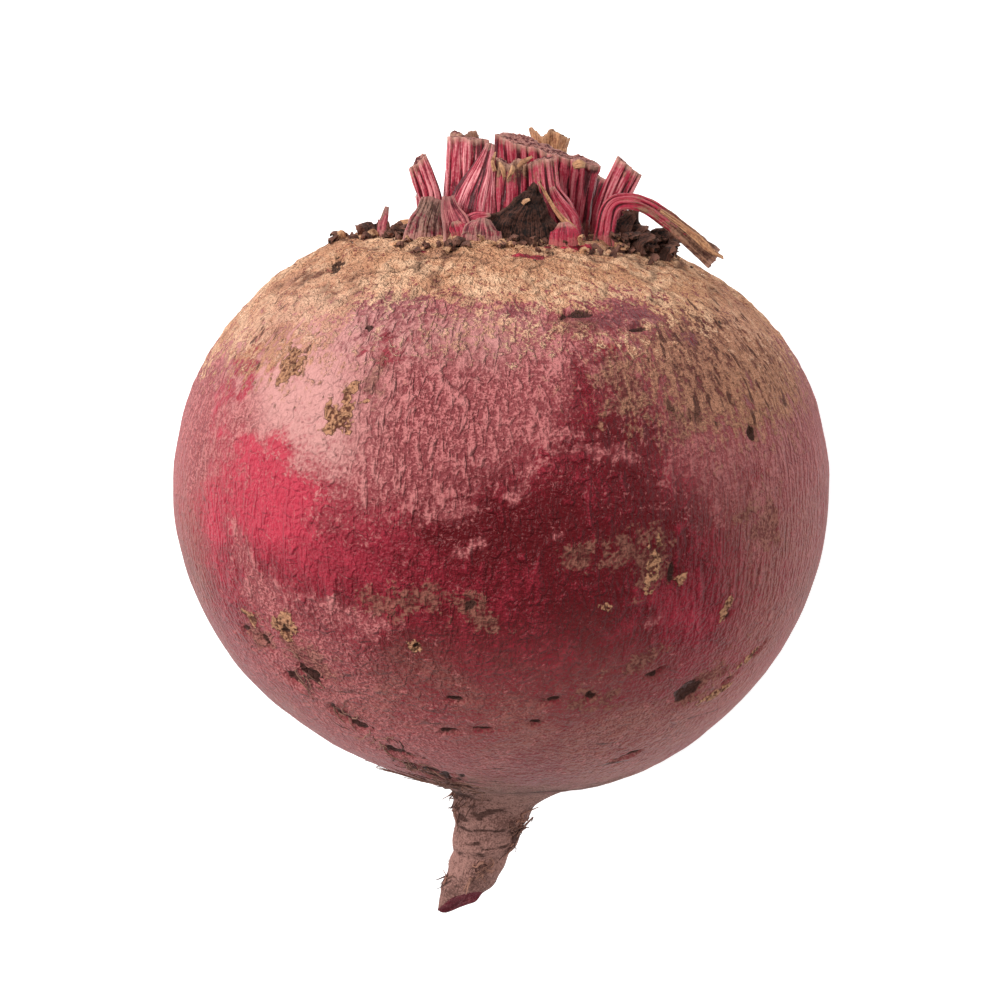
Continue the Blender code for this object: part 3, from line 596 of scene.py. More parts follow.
@dataclass(frozen=True)
class Blade:
    """A curved, channelled stalk or scale, swept along its spine and sunk into the crown.

    spine, faces, widths, thick, bow, ribs, rib, slope, tear and wave are those
    of the solid. step is how far the front of its cut end lies below the back,
    dry how dry it is at its base and at its tip, dusty how pale its crests
    are, crumple how far its dried surface buckles in mm, and split how deep its
    tip is torn. stands tells whether its foot is set on the crown.
    """

    node: str
    slot: Slot
    spine: list
    faces: list
    widths: tuple
    thick: tuple
    bow: tuple
    ribs: int = 0
    rib: float = 0.0
    slope: float = 0.0
    step: float = 0.0
    tear: float = 0.0
    wave: float = 0.0
    dry: tuple = (0.0, 0.35)
    dusty: float = 0.6
    crumple: float = 0.12
    split: float = 0.0
    sink: float = 0.9
    stands: bool = True
    rows: int = 64
    around: int = 128
    seed: int = 1

    def section(self) -> tuple[Array, Array]:
        """Places round the cross-section: how far across from -1 to 1, and how deep in from 0 to 1.

        A rounded oblong whose corners are arcs, with its points spaced evenly along it.
        """
        turn = np.linspace(0.0, 2.0 * math.pi, 1440)
        across = np.sign(np.cos(turn)) * np.abs(np.cos(turn)) ** 0.35
        deep = 0.5 - 0.5 * np.sign(np.sin(turn)) * np.abs(np.sin(turn)) ** 0.45
        aspect = 2.0 * max(self.thick) / max(self.widths)
        length = np.concatenate(((0.0,), np.cumsum(np.hypot(np.diff(across), aspect * np.diff(deep)))))
        even = np.linspace(0.0, length[-1], self.around, endpoint=False)
        return np.interp(even, length, across), np.interp(even, length, deep)

    def build(self, shape: RootShape) -> Surface:
        """Sweeps the section up the spine, tears its tip, and closes it over the cut.

        Args:
            shape: The root, whose crown the blade stands on.

        Returns:
            The surface with its values: strand places, rib crests, dryness, cut and edge.
        """
        side, deep = self.section()
        along = np.concatenate((np.linspace(0.0, 1.0, self.rows), np.ones(CUT_ROWS)))
        shrink = np.concatenate((np.ones(self.rows), 0.96 - np.arange(CUT_ROWS) * 0.115))[:, None]
        side = side[None, :] * shrink
        deep = 0.5 + (deep[None, :] - 0.5) * shrink
        path = through(self.spine, along)
        path[:, 1] += shape.crown_height
        base = shape.crown_top(path[0, 0], path[0, 2])
        path[:, 1] += self.stands * (base - self.sink - path[0, 1]) * (1.0 - smoothstep(along * 3.0))
        lead = np.gradient(path[: self.rows], axis=0)
        ahead = unit(np.concatenate((lead, np.repeat(lead[-1:], CUT_ROWS, axis=0))))
        out = through(self.faces, along)
        out = unit(out - np.sum(out * ahead, axis=1, keepdims=True) * ahead)
        over = np.cross(ahead, out)
        width = through([(w,) for w in self.widths], along)
        wall = through([(t,) for t in self.thick], along)
        arc = np.radians(through([(b,) for b in self.bow], along))
        bend_radius = width / arc
        turn = arc / 2.0 * side
        lift = bend_radius * (np.cos(turn) - 1.0)
        level = 6.0 * along[:, None] + 0.0 * side
        drift = np.stack((3.0 * side, 0.35 * level, 0.0 * side + 7.0 * self.seed), axis=-1)
        wander = noise(drift, 1.0, 8, 2)
        ribbed = 0.5 + 0.5 * np.cos(math.pi * self.ribs * (side + 1.0 + 0.16 * wander))
        crest = (1.0 - ribbed**2.5) * (0.85 + 0.3 * wander) if self.ribs else 0.6 + 0.4 * wander
        strand_place = np.stack((side * width / 2.0, 0.0 * side, deep * wall), axis=-1)
        strands = noise(strand_place + 40.0 * self.seed, 0.55, self.seed, 2)
        lift = lift + (1.0 - deep) * (self.rib * crest + 0.10 * strands)
        lift = lift + self.wave * side**2 * np.sin(7.0 * along[:, None] + 3.0 * side + self.seed)
        place = path[:, None] + over[:, None] * (bend_radius * np.sin(turn))[..., None]
        place = place + out[:, None] * lift[..., None]
        normal = out[:, None] * np.cos(turn)[..., None] + over[:, None] * np.sin(turn)[..., None]
        place = place - normal * (wall * (1.0 - 0.45 * side**4) * deep)[..., None]
        ragged = noise(strand_place * (1.0, 1.0, 0.6) + 17.0 * self.seed, 1.5, 3, 1)
        ragged = ragged + 0.5 * noise(strand_place + 5.0 * self.seed, 0.4, 4, 2)
        slant = self.slope * width / 2.0 * side
        reach = slant + self.tear * ragged + self.step * (deep - 0.5)
        reach = reach - self.split * np.clip(noise(strand_place + 9.0 * self.seed, 2.4, 6), 0.0, 1.0)
        place = place + ahead[:, None] * (reach * smoothstep(along[:, None] * 2.0 - 1.0))[..., None]
        dry = self.dry[0] + (self.dry[1] - self.dry[0]) * along[:, None] ** 2 + 0.0 * side
        buckle = self.crumple * (0.3 + dry) * noise(place, 1.8, 50 + self.seed, 3)
        place = place + normal * (buckle * smoothstep(along[:, None] * 4.0))[..., None]
        lengths = np.linalg.norm(np.diff(path[: self.rows], axis=0), axis=1)
        height = np.concatenate(((0.0,), np.cumsum(lengths)))
        height = np.concatenate((height, np.full(CUT_ROWS, height[-1])))[:, None]
        cut = np.concatenate((np.zeros(self.rows), 1.0 - shrink[self.rows :, 0]))[:, None]
        strand_across = side * max(self.widths) / 2.0 + 30.0 * self.seed
        values = {
            "strand": np.stack((strand_across, height + 0.0 * side, deep * wall), axis=-1),
            "crest": np.clip(crest, 0.0, 1.0) * (1.0 - deep) + 0.35 * deep,
            "dry": dry,
            "to_tip": height[-1] - height + 0.0 * side,
            "from_foot": height + 0.0 * side,
            "dusty": self.dusty + 0.0 * side * height,
            "cut": np.clip(cut * 6.0, 0.0, 1.0) + 0.0 * side,
            "edge": smoothstep((np.abs(side) - 0.72) / 0.28),
        }
        start = place[0].mean(axis=0, keepdims=True)
        end = place[-1].mean(axis=0, keepdims=True)
        return Surface(place[:, ::-1], start, end, {key: rows[:, ::-1] for key, rows in values.items()})


FRONT, BACK = (0.0, 0.0, 1.0), (0.0, 0.0, -1.0)
FRONT_LEFT = (-0.6, 0.0, 0.8)
BACK_LEFT, BACK_RIGHT = (-0.6, 0.0, -0.8), (0.6, 0.0, -0.8)


@dataclass(frozen=True)
class Rosette:
    """Everything that was cut or dried on the crown, front to back."""

    tall: tuple[Blade, ...] = (
        Blade("stalk_tall_left", Slot.FRESH, [(-4.7, 0, 3), (-4.5, 6, 3.2), (-4.3, 12.2, 3)], [FRONT],
            (7.4, 7, 6.8), (3.2, 2.8), (80, 80), ribs=5, rib=0.4, slope=-0.04, step=0.2, tear=0.3,
            dry=(0, 0.3), dusty=0.9, seed=2),
        Blade("stalk_tall_back", Slot.FRESH, [(-5, 0, -7), (-5, 7, -6.6), (-4.9, 12.2, -6.2)], [BACK],
            (7.4, 6.2, 4.8), (2.8, 2.2), (80, 90), ribs=4, rib=0.3, slope=-0.1, tear=0.9, dry=(0.1, 0.7),
            seed=3),
        Blade("stalk_wide_right", Slot.FRESH, [(6.5, 0, 2.8), (6.7, 6, 2.9), (6.8, 10.4, 3.2)], [FRONT],
            (12.2, 14.2, 15.4), (4.2, 3.8), (62, 62), ribs=10, rib=0.42, slope=-0.25, step=0.6, tear=0.35,
            dry=(0, 0.15), around=200, dusty=0.4, seed=4),
        Blade("stalk_centre_back", Slot.FRESH, [(1.6, 0, -7.2), (1.5, 7, -6.8), (1.4, 12, -6)], [BACK],
            (5.6, 5.4, 5), (2.4, 2), (70, 80), ribs=3, rib=0.3, slope=0.2, tear=0.35, seed=5),
    )
    torn: tuple[Blade, ...] = (
        Blade("stalk_front_flap", Slot.FRESH,
            [(-4.4, 0, 9.6), (-3.8, 2.4, 9.3), (-3.2, 4.9, 8.8), (-2.2, 7.9, 8.2), (-1.2, 11.7, 7.2)],
            [FRONT], (8.6, 7.8, 6.4, 4.2, 1.2), (2, 1.2), (55, 50), ribs=2, rib=0.1, tear=0.2,
            dry=(0, 0.1), crumple=0.45, dusty=1, seed=6),
        Blade("stalk_front_torn", Slot.FRESH, [(1.2, 0, 8.5), (1.4, 6, 8.1), (1.6, 9.4, 7.5)], [FRONT],
            (6, 5.8, 5.2), (2.2, 1.8), (80, 80), ribs=3, rib=0.25, tear=0.8, split=2.6, dry=(0, 1.1),
            crumple=0.2, dusty=0.2, seed=7),
        Blade("stalk_front_right", Slot.FRESH,
            [(8.2, 0, 9.9), (7, 2.8, 9.2), (6, 5.6, 8.6), (5.6, 9.6, 7.8)], [FRONT], (7.6, 6.4, 4.8, 4.4),
            (1.8, 1.4), (60, 60), ribs=5, rib=0.25, slope=0.15, step=0.5, tear=0.4, dry=(0.2, 0.35),
            dusty=0.5, seed=8),
    )
    sides: tuple[Blade, ...] = (
        Blade("stalk_short_left", Slot.FRESH,
            [(-9.5, 0, 3.4), (-9.7, 3.8, 3.4), (-10.4, 6.4, 3.4), (-11.2, 9, 3.2)], [FRONT_LEFT, FRONT],
            (3.9, 3.9, 3.7, 3.2), (1.8, 1.5), (60, 60), ribs=4, rib=0.2, slope=0.35, step=0.5, tear=0.5,
            dusty=0.8, seed=9),
        Blade("stalk_slanted_right", Slot.FRESH,
            [(14.7, 0, 1.8), (15.1, 1.8, 1.8), (16.1, 4.8, 2), (17.7, 8.2, 2.2)], [(0.2, 0, 1)],
            (5.2, 5.2, 5, 5), (2.2, 2), (70, 70), ribs=5, rib=0.3, slope=-0.2, tear=0.3, seed=10),
        Blade("stalk_arched_right", Slot.FRESH,
            [(13.8, 0, 9.8), (13.9, 1.4, 9.5), (14.6, 3.2, 9.2), (16.3, 4.2, 9), (19.4, 3.7, 8.6),
             (22.8, 1.6, 8.2), (26, -0.9, 7.8), (28.9, -3.4, 7.2)],
            [(-0.2, 0, 1), (-0.3, 0.1, 1), (-0.2, 0.3, 0.9), (0.1, 0.6, 0.8), (0.3, 0.6, 0.8),
             (0.45, 0.55, 0.8)],
            (4.4, 3.4, 3, 2.8, 2.8, 3.2, 3.6, 4), (1.2, 0.9), (80, 60), ribs=4, rib=0.28, tear=0.6,
            split=1.8, dry=(0.1, 1), crumple=0.3, rows=90, around=96, seed=11),
        Blade("stalk_low_right_back", Slot.FRESH, [(12.6, 0, -7.2), (13.4, 3, -8.2), (14.2, 5.2, -9.6)],
            [BACK_RIGHT], (7, 6.4, 6), (2.4, 2.2), (90, 90), ribs=4, rib=0.3, slope=0.15, tear=0.4,
            rows=36, seed=12),
        Blade("stalk_low_left_back", Slot.FRESH, [(-9.8, 0, -9), (-10.2, 1.6, -9.9), (-10.6, 2.8, -11)],
            [BACK_LEFT], (6.8, 6.2, 5.6), (2.4, 2), (95, 90), ribs=4, rib=0.3, slope=-0.15, tear=0.4,
            rows=30, seed=13),
        Blade("stalk_back_right", Slot.FRESH, [(5, 0, -13.4), (5.2, 4, -14.2), (5.4, 7.4, -15.4)], [BACK],
            (8.6, 7.8, 7.2), (2.8, 2.4), (90, 90), ribs=5, rib=0.35, slope=0.12, tear=0.45, rows=44,
            seed=14),
    )
    dried: tuple[Blade, ...] = (
        Blade("leaf_base_left", Slot.DRIED, [(-10.7, 0, 9.9), (-9.8, 2.2, 9.2), (-9, 4.6, 8.4)],
            [(-0.3, 0.2, 1), (-0.15, 0, 1)], (6.8, 4.4, 3.8), (1.3, 1), (60, 70), ribs=5, rib=0.2,
            wave=0.15, tear=0.4, dry=(0.55, 1), crumple=0.3, rows=52, seed=15),
        Blade("leaf_curl_left", Slot.DRIED,
            [(-5.4, 0, 13.4), (-6, 1.6, 12.5), (-6.6, 3.2, 11.6), (-6.9, 4.9, 10.8)], [(0.25, 0.1, 1)],
            (4.8, 3.6, 2.4, 1.2), (0.8, 0.7), (-130, -90), wave=0.1, tear=0.15, dry=(0, 0.1), crumple=0.2,
            rows=52, around=96, dusty=1, seed=16),
        Blade("scale_dark_front", Slot.SCALE, [(3.4, 0, 13.4), (4, 3, 12.3), (4.9, 6.6, 11.2)],
            [(0, 0.35, 1), (0, 0.1, 1)], (16.6, 12.6, 7, 3.2, 0.8), (1, 0.8), (50, 50), wave=0.45,
            tear=0.4, dry=(0.9, 1), crumple=1.2, rows=72, around=150, seed=17),
        Blade("scale_low_front", Slot.DRIED, [(-2.5, 0, 15.4), (-2.6, 0.9, 14.9), (-2.4, 2.1, 14)],
            [(-0.1, 0.5, 1)], (6.4, 5.2, 2.8), (0.9, 0.7), (50, 50), wave=0.25, tear=0.35, dry=(0.5, 0.4),
            crumple=0.45, rows=36, around=96, dusty=0.9, seed=18),
        Blade("scale_red_front", Slot.FRESH, [(8.6, 0, 15), (8.6, 0.8, 14.7), (8.4, 1.7, 14.1)],
            [(0.1, 0.4, 1)], (5, 3.6, 1.6), (0.9, 0.7), (60, 50), tear=0.2, dry=(0, 0.1), crumple=0.25,
            rows=30, around=84, dusty=0, seed=23),
        Blade("scale_curled_right", Slot.SCALE, [(18.2, 0, 5.4), (18.1, 0.6, 5.4), (17.7, 2.6, 5.2)],
            [(0.5, 0, 0.9), (0.2, 0, 1)], (4.6, 3, 2.6), (1, 0.8), (110, 90), wave=0.3, tear=0.5,
            dry=(0.8, 1), crumple=0.5, rows=36, around=84, seed=19),
        Blade("scale_back", Slot.SCALE, [(-4.6, 0, -13.2), (-4.8, 2.4, -13.4), (-4.4, 5, -13)],
            [(0, 0.3, -1)], (9, 5.6, 1.6), (0.9, 0.8), (60, 50), wave=0.2, tear=0.3, dry=(0.8, 1),
            crumple=0.35, rows=40, around=96, seed=20),
        Blade("leaf_scrap_back", Slot.SCALE, [(7.4, 0, -8), (7, 7.4, -7.4), (7.2, 13.2, -7)],
            [(0.1, 0, 1), (0, 0, 1), (0.2, 0, 1)], (2.4, 4, 6.8), (0.9, 0.8), (60, 80), ribs=2, rib=0.5,
            wave=0.5, tear=0.9, dry=(0.5, 0.6), split=1.6, crumple=0.4, rows=60, around=96, seed=21),
        Blade("shard_left", Slot.DRIED, [(-16.5, 0, 2), (-16, 1, 2), (-15.5, 2.8, 1.8)], [FRONT_LEFT],
            (2, 1.6, 0.8), (0.8, 0.7), (70, 60), tear=0.15, dry=(0.3, 0.8), rows=30, around=64, seed=22),
    )
    hearts: tuple[Blade, ...] = (
        Blade("", Slot.FRESH, [(-1, 0, 4.4), (-1, 5, 4.2), (-1.2, 9.4, 4)], [FRONT], (4.6, 4.4, 3.6),
            (1.8, 1.4), (70, 70), ribs=3, rib=0.25, tear=0.5, dry=(0, 0.3), rows=40, around=84, seed=31),
        Blade("", Slot.FRESH, [(3, 0, -1), (3, 4, -1), (2.8, 7.5, -1.2)], [BACK], (5.6, 5, 4), (2, 1.6),
            (80, 80), ribs=3, rib=0.25, tear=0.8, dry=(0.1, 0.6), rows=30, around=64, seed=32),
        Blade("", Slot.FRESH, [(-5, 0, -2), (-5.2, 4, -2), (-5.4, 8, -2.2)], [BACK_LEFT], (5, 4.4, 3.6),
            (1.8, 1.4), (80, 80), ribs=3, rib=0.25, tear=0.8, dry=(0.1, 0.6), rows=30, around=64, seed=33),
        Blade("", Slot.FRESH, [(10.4, 0, -2), (10.6, 3, -2.2), (11, 6, -2.6)], [BACK_RIGHT],
            (4.6, 4.2, 3.4), (1.8, 1.4), (80, 80), ribs=3, rib=0.25, tear=0.8, dry=(0.1, 0.6), rows=30,
            around=64, seed=34),
        Blade("", Slot.FRESH, [(10.2, 0, 10.6), (9.4, 1.9, 10.5), (7.9, 4, 10.1), (6.9, 6, 9.6)],
            [(0.1, 0.1, 1)], (3.6, 2.6, 2, 0.8), (0.8, 0.6), (60, 50), ribs=2, rib=0.2, tear=0.2,
            dry=(0.3, 0.2), crumple=0.2, rows=40, around=72, seed=35),
        Blade("", Slot.FRESH, [(-5, 0, 12.6), (-4.4, 1.3, 12.4), (-3.2, 2.3, 12.2), (-1.4, 2.5, 12.2)],
            [(-0.2, 0.4, 1)], (3.4, 2.6, 1.8, 0.6), (0.8, 0.6), (60, 50), tear=0.2, dry=(0.1, 0.2),
            crumple=0.3, rows=36, around=64, seed=36),
        Blade("", Slot.FRESH, [(-3.2, 0, 14.8), (-2.9, 0.5, 14.3), (-2.5, 1.4, 13.6)], [(-0.5, 0.4, 1)],
            (2.6, 2.2, 1), (0.7, 0.5), (80, 60), tear=0.2, dry=(0.4, 0.3), crumple=0.3, rows=30,
            around=56, seed=37),
        Blade("", Slot.FRESH, [(-5.2, -0.4, 13.9), (-5.6, 0.8, 13.4), (-6, 1.7, 12.9)], [(0.25, 0.2, 1)],
            (1.6, 2.4, 0.8), (0.3, 0.2), (-50, -50), dry=(0, 0), dusty=0, crumple=0.1, rows=24, around=40,
            seed=38),
    )
    edges: tuple[Blade, ...] = (
        Blade("", Slot.SCALE, [(21.5, 2.9, 9.1), (25, 0.4, 8.9), (28.2, -2.2, 8.6), (30.3, -3.8, 8)],
            [(0.45, 0.55, 0.8)], (0.7, 1.1, 1.4, 0.5), (0.5, 0.3), (60, 50), tear=0.6, split=0.8,
            dry=(0.5, 0.9), crumple=0.3, stands=False, rows=30, around=36, seed=49),
        Blade("", Slot.SCALE,
            [(12, 0, 14.4), (10, 0.7, 14.1), (8, 2.4, 13.5), (6.5, 4.6, 12.8), (5.1, 6.9, 12)],
            [(0.3, 0.3, 1)], (0.9, 1.2, 0.8, 0.6, 0.3), (0.45, 0.3), (60, 50), tear=0.15, dry=(0.6, 0.6),
            crumple=0.3, rows=40, around=48, seed=41),
        Blade("", Slot.SCALE, [(2.9, 4, 12.9), (3.3, 4.4, 13), (3.9, 4.6, 12.9)], [(-0.3, 0.5, 1)],
            (0.6, 0.7, 0.4), (0.4, 0.3), (70, 60), tear=0.1, dry=(0.8, 0.8), crumple=0.2, stands=False,
            rows=14, around=24, seed=42),
        Blade("", Slot.SCALE, [(-0.7, 8, 8.9), (-1, 9.2, 9), (-0.6, 10.6, 8.9)], [(-0.1, 0, 1)],
            (0.7, 0.6, 0.2), (0.3, 0.2), (70, 60), tear=0.2, dry=(0.6, 0.9), crumple=0.2, stands=False,
            rows=20, around=28, seed=43),
        Blade("", Slot.SCALE, [(0.6, 7.2, 9), (0.4, 8.2, 9.2), (-0.1, 9.2, 9)], [(0.2, 0, 1)],
            (0.5, 0.5, 0.15), (0.25, 0.15), (70, 60), tear=0.3, dry=(0.7, 0.9), crumple=0.35,
            stands=False, rows=20, around=28, seed=44),
        Blade("", Slot.SCALE, [(1, 7, 9), (1.5, 7.9, 9.1), (1.7, 8.8, 8.9)], [(0.1, 0, 1)],
            (0.4, 0.5, 0.15), (0.25, 0.15), (70, 60), tear=0.3, dry=(0.7, 0.9), crumple=0.35,
            stands=False, rows=20, around=28, seed=45),
        Blade("", Slot.SCALE, [(2.4, 8.6, 8.9), (3.2, 9.3, 9), (4.3, 10, 8.8)], [(0.1, 0.1, 1)],
            (0.6, 0.8, 0.3), (0.3, 0.2), (70, 60), tear=0.2, dry=(0.7, 0.9), crumple=0.2, stands=False,
            rows=18, around=28, seed=46),
        Blade("", Slot.SCALE, [(9.8, 8.5, 5.3), (10.6, 8.8, 5.4), (11.6, 8.6, 5.2)], [(0.1, 0.3, 1)],
            (1, 1.3, 0.8), (0.3, 0.2), (50, 50), tear=0.4, dry=(0.6, 0.7), crumple=0.3, stands=False,
            rows=16, around=28, seed=47),
    )

    def blades(self) -> tuple[Blade, ...]:
        """All the blades that stand for a solid."""
        return self.tall + self.torn + self.sides + self.dried


@dataclass(frozen=True)
class Clump:
    """A place on the crown where dried bits gather.

    right, forward, spread and size are in mm, and tan is the share of tan bits.
    """

    right: float
    forward: float
    spread: float
    count: int
    size: float
    tan: float


@dataclass(frozen=True)
class Litter:
    """Dry flakes and crumbs of old leaf base that lie round the foot of the rosette."""

    clumps: tuple[Clump, ...] = (
        Clump(18.6, 7, 2.4, 26, 3, 0.1), Clump(20.6, 5.2, 1.8, 15, 2.6, 0.1),
        Clump(22.4, 3.6, 1.2, 6, 1.8, 0.15), Clump(16, 10, 1.6, 8, 1.9, 0.3),
        Clump(-13, 5.5, 2.6, 10, 2, 0.35), Clump(-17.5, 3, 1.8, 6, 1.6, 0.4),
        Clump(-21.5, 1, 1.6, 8, 1.7, 0.2), Clump(-11.5, 12.6, 1.6, 5, 1.2, 0.3),
        Clump(-6.2, 16.6, 1.1, 9, 1.4, 0.1), Clump(-8.5, 15.6, 1.6, 5, 1.1, 0.5),
        Clump(0.6, 16.6, 2.2, 9, 1.3, 0.3), Clump(4.6, 15.6, 2.4, 8, 1.4, 0.2),
        Clump(11, 15, 2.5, 6, 1.2, 0.4), Clump(0, -16, 7, 16, 2.2, 0.4), Clump(-14, -8, 4, 9, 2.2, 0.4),
        Clump(15, -12, 4, 9, 2.2, 0.4), Clump(-2, -1, 3.5, 10, 2, 0.2),
    )
    crumbs: int = 620
    crumb_rows: int = 4
    crumb_columns: int = 7
    seed: int = 41

    def flakes(self, shape: RootShape, tan: bool) -> list[Surface]:
        """Small torn blades that lie over each other in each clump, the tan ones or the dark ones."""
        rng = np.random.default_rng(self.seed)
        made = []
        for clump in self.clumps:
            for _ in range(clump.count):
                right, forward = rng.normal((clump.right, clump.forward), clump.spread * 0.6)
                size = clump.size * rng.uniform(0.6, 1.4)
                heading = math.atan2(forward, right) + rng.normal(0.0, 0.9)
                lean = np.array((math.cos(heading), 0.0, math.sin(heading)))
                rise, spin = rng.uniform(0.0, 0.4 + 0.22 * clump.size), int(rng.integers(1, 90))
                is_tan = rng.uniform() < clump.tan
                foot = shape.crown_top(right, forward) - shape.crown_height + 0.3
                base = np.array((right, foot, forward))
                tip = base + size * (lean * rng.uniform(0.5, 1.0) + np.array((0.0, rise - 0.15, 0.0)))
                middle = (base + tip) / 2.0 + size * np.array((0.0, 0.18, 0.0))
                face = lean * rng.uniform(-1.0, 0.6) + np.array((0.0, 0.9, 0.5))
                if is_tan == tan:
                    bow = float(rng.choice((-50.0, 35.0, 70.0)))
                    widths = (size * 0.8, size * 0.75, size * 0.4)
                    blade = Blade(
                        "", Slot.SCALE, [base, middle, tip], [face], widths, (0.5, 0.35), (bow, 0.6 * bow),
                        tear=0.5, wave=0.2, dry=(0.9, 1.0), crumple=0.6, sink=0.3, rows=11, around=24,
                        seed=spin,
                    )
                    made.append(blade.build(shape))
        return made

    def crumb_lumps(self, shape: RootShape) -> list[Surface]:
        """Crumbs up to about 1 mm across: rough little balls, thickest round the rosette."""
        rng = np.random.default_rng(self.seed + 1)
        dip = np.linspace(0.25, math.pi - 0.25, self.crumb_rows)[:, None]
        turn = np.linspace(0.0, 2.0 * math.pi, self.crumb_columns, endpoint=False)[None, :]
        ball = (np.sin(dip) * np.cos(turn), np.cos(dip) + 0.0 * turn, -np.sin(dip) * np.sin(turn))
        ball = np.stack(ball, axis=-1)
        made = []
        for _ in range(self.crumbs):
            reach, heading = 11.0 + abs(rng.normal(0.0, 7.5)), rng.uniform(0.0, 2.0 * math.pi)
            right = shape.scar_centre + reach * math.cos(heading)
            forward = reach * math.sin(heading)
            size = rng.uniform(0.12, 0.50) * rng.uniform(0.4, 1.0)
            lump = ball * rng.uniform(0.4, 1.4, 3) * size * rng.uniform(0.55, 1.4, (*ball.shape[:2], 1))
            lump = lump + (right, shape.crown_top(right, forward) + 0.25 * size, forward)
            tone = np.full(ball.shape[:2], rng.uniform() ** 0.7)
            made.append(Surface(lump, lump[:1].mean(axis=1), lump[-1:].mean(axis=1), {"tone": tone}))
        return made


@dataclass(frozen=True)
class HairPatch:
    """A patch of fine roots, in mm and degrees.

    height and angle place its middle and tall and wide spread it. lift is how
    far the ends stand off, thick how thick a hair is, curl how much it winds.
    """

    height: float
    angle: float
    tall: float
    wide: float
    count: int
    length: float
    lift: float = 0.25
    thick: float = 0.09
    curl: float = 5.0


@dataclass(frozen=True)
class FineRoots:
    """Hair-thin roots on the tap root and in the furrow that leads to it."""

    patches: tuple[HairPatch, ...] = (
        HairPatch(-19.5, 129, 1.5, 4, 16, 2.6), HairPatch(-23.5, 125, 1.5, 4, 10, 2.2),
        HairPatch(-28, 120, 2, 5, 14, 2.4), HairPatch(-33, 117, 2, 6, 22, 2.6),
        HairPatch(-36.5, 122, 1.5, 9, 34, 3, 0.5), HairPatch(-39, 132, 1.5, 20, 46, 3.4, 0.9, 0.12),
        HairPatch(-41.5, 150, 1.4, 30, 44, 3.2, 0.9, 0.12),
        HairPatch(-45, 160, 1.6, 30, 16, 2.6, 0.5, 0.12),
        HairPatch(-47, 40, 1, 14, 16, 2.4, 0.5, 0.16, 9),
        HairPatch(-49.5, 25, 0.8, 14, 10, 2.6, 0.6, 0.16, 9),
        HairPatch(-53.2, 75, 0.5, 20, 12, 2, 0.3, 0.18, 9),
        HairPatch(-54.5, 95, 0.2, 3, 2, 4, 0.5, 0.2, 0.6),
        HairPatch(-55.5, 165, 0.6, 9, 5, 2, 0.7, 0.16, 4), HairPatch(-50, 240, 5, 120, 16, 2.6, 0.4),
        HairPatch(-30, 270, 9, 60, 16, 3.6), HairPatch(-38, 300, 4, 60, 16, 3),
    )
    steps: int = 18
    around: int = 6
    seed: int = 61

    def hair(
        self, shape: RootShape, sides: tuple[Array, Array], patch: HairPatch, rng: np.random.Generator
    ) -> Surface:
        """One hair: a tapered tube that wanders down the surface and lifts off it towards its end."""
        along = np.linspace(0.0, 1.0, self.steps)
        length = patch.length * rng.uniform(0.4, 1.5)
        radius_at = float(np.interp(patch.height, sides[0], sides[1]))
        drift = np.cumsum(rng.normal(0.0, 1.0, self.steps)) / self.steps
        heading = rng.uniform(-0.5, 0.5) * min(patch.curl, 4.4) + patch.curl * drift
        height = patch.height + rng.normal(0.0, patch.tall * 0.6)
        height = height - np.cumsum(np.cos(heading)) * length / self.steps
        angle = math.radians(patch.angle + rng.normal(0.0, patch.wide * 0.5))
        angle = angle + np.cumsum(np.sin(heading)) * length / self.steps / max(radius_at, 3.0)
        lift = 0.05 + patch.lift * rng.uniform(0.2, 2.0) * along**1.5
        path = shape.grown(np.interp(height, sides[0], sides[1]) + lift, height, angle)
        ahead = unit(np.gradient(path, axis=0))
        first = unit(np.cross(ahead, np.array((0.31, 0.2, 0.93))))
        second = np.cross(ahead, first)
        turn = np.linspace(0.0, 2.0 * math.pi, self.around, endpoint=False)[None, :, None]
        thick = (patch.thick * rng.uniform(0.6, 1.5) * (1.0 - 0.7 * along))[:, None, None]
        rings = path[:, None] + thick * (np.cos(turn) * first[:, None] + np.sin(turn) * second[:, None])
        tone = np.full((self.steps, self.around), rng.uniform() + 0.6 * (patch.curl < 1.0))
        return Surface(rings[:, ::-1], path[:1], path[-1:], {"tone": tone})

    def build(self, shape: RootShape) -> list[Surface]:
        """All the hairs of all the patches."""
        rng = np.random.default_rng(self.seed)
        radius, height = shape.outline()
        sides = (
            np.concatenate((shape.tap_heights, height[::-1])),
            np.concatenate((shape.tap_radii, radius[::-1])),
        )
        return [self.hair(shape, sides, patch, rng) for patch in self.patches for _ in range(patch.count)]


# Finishes


class Signal:
    """A value in a node tree. Each sum, difference or product of signals adds the node that makes it."""

    def __init__(self, tree: Tree, socket: bpy.types.NodeSocket) -> None:
        """Keeps the tree, and the socket that the value comes out of."""
        self.tree, self.socket = tree, socket

    def __add__(self, other: Input) -> Signal:
        """The sum of both."""
        return self.tree.math("ADD", self, other)

    def __sub__(self, other: Input) -> Signal:
        """The signal less another value."""
        return self.tree.math("SUBTRACT", self, other)

    def __rsub__(self, other: Input) -> Signal:
        """A plain number less the signal."""
        return self.tree.math("SUBTRACT", other, self)

    def __mul__(self, other: Input) -> Signal:
        """The product of both."""
        return self.tree.math("MULTIPLY", self, other)

    def __abs__(self) -> Signal:
        """The signal without its sign."""
        return self.tree.math("ABSOLUTE", self)

    __radd__, __rmul__ = __add__, __mul__


Input = Signal | float | tuple
EVEN = (1.0, 1.0, 1.0)


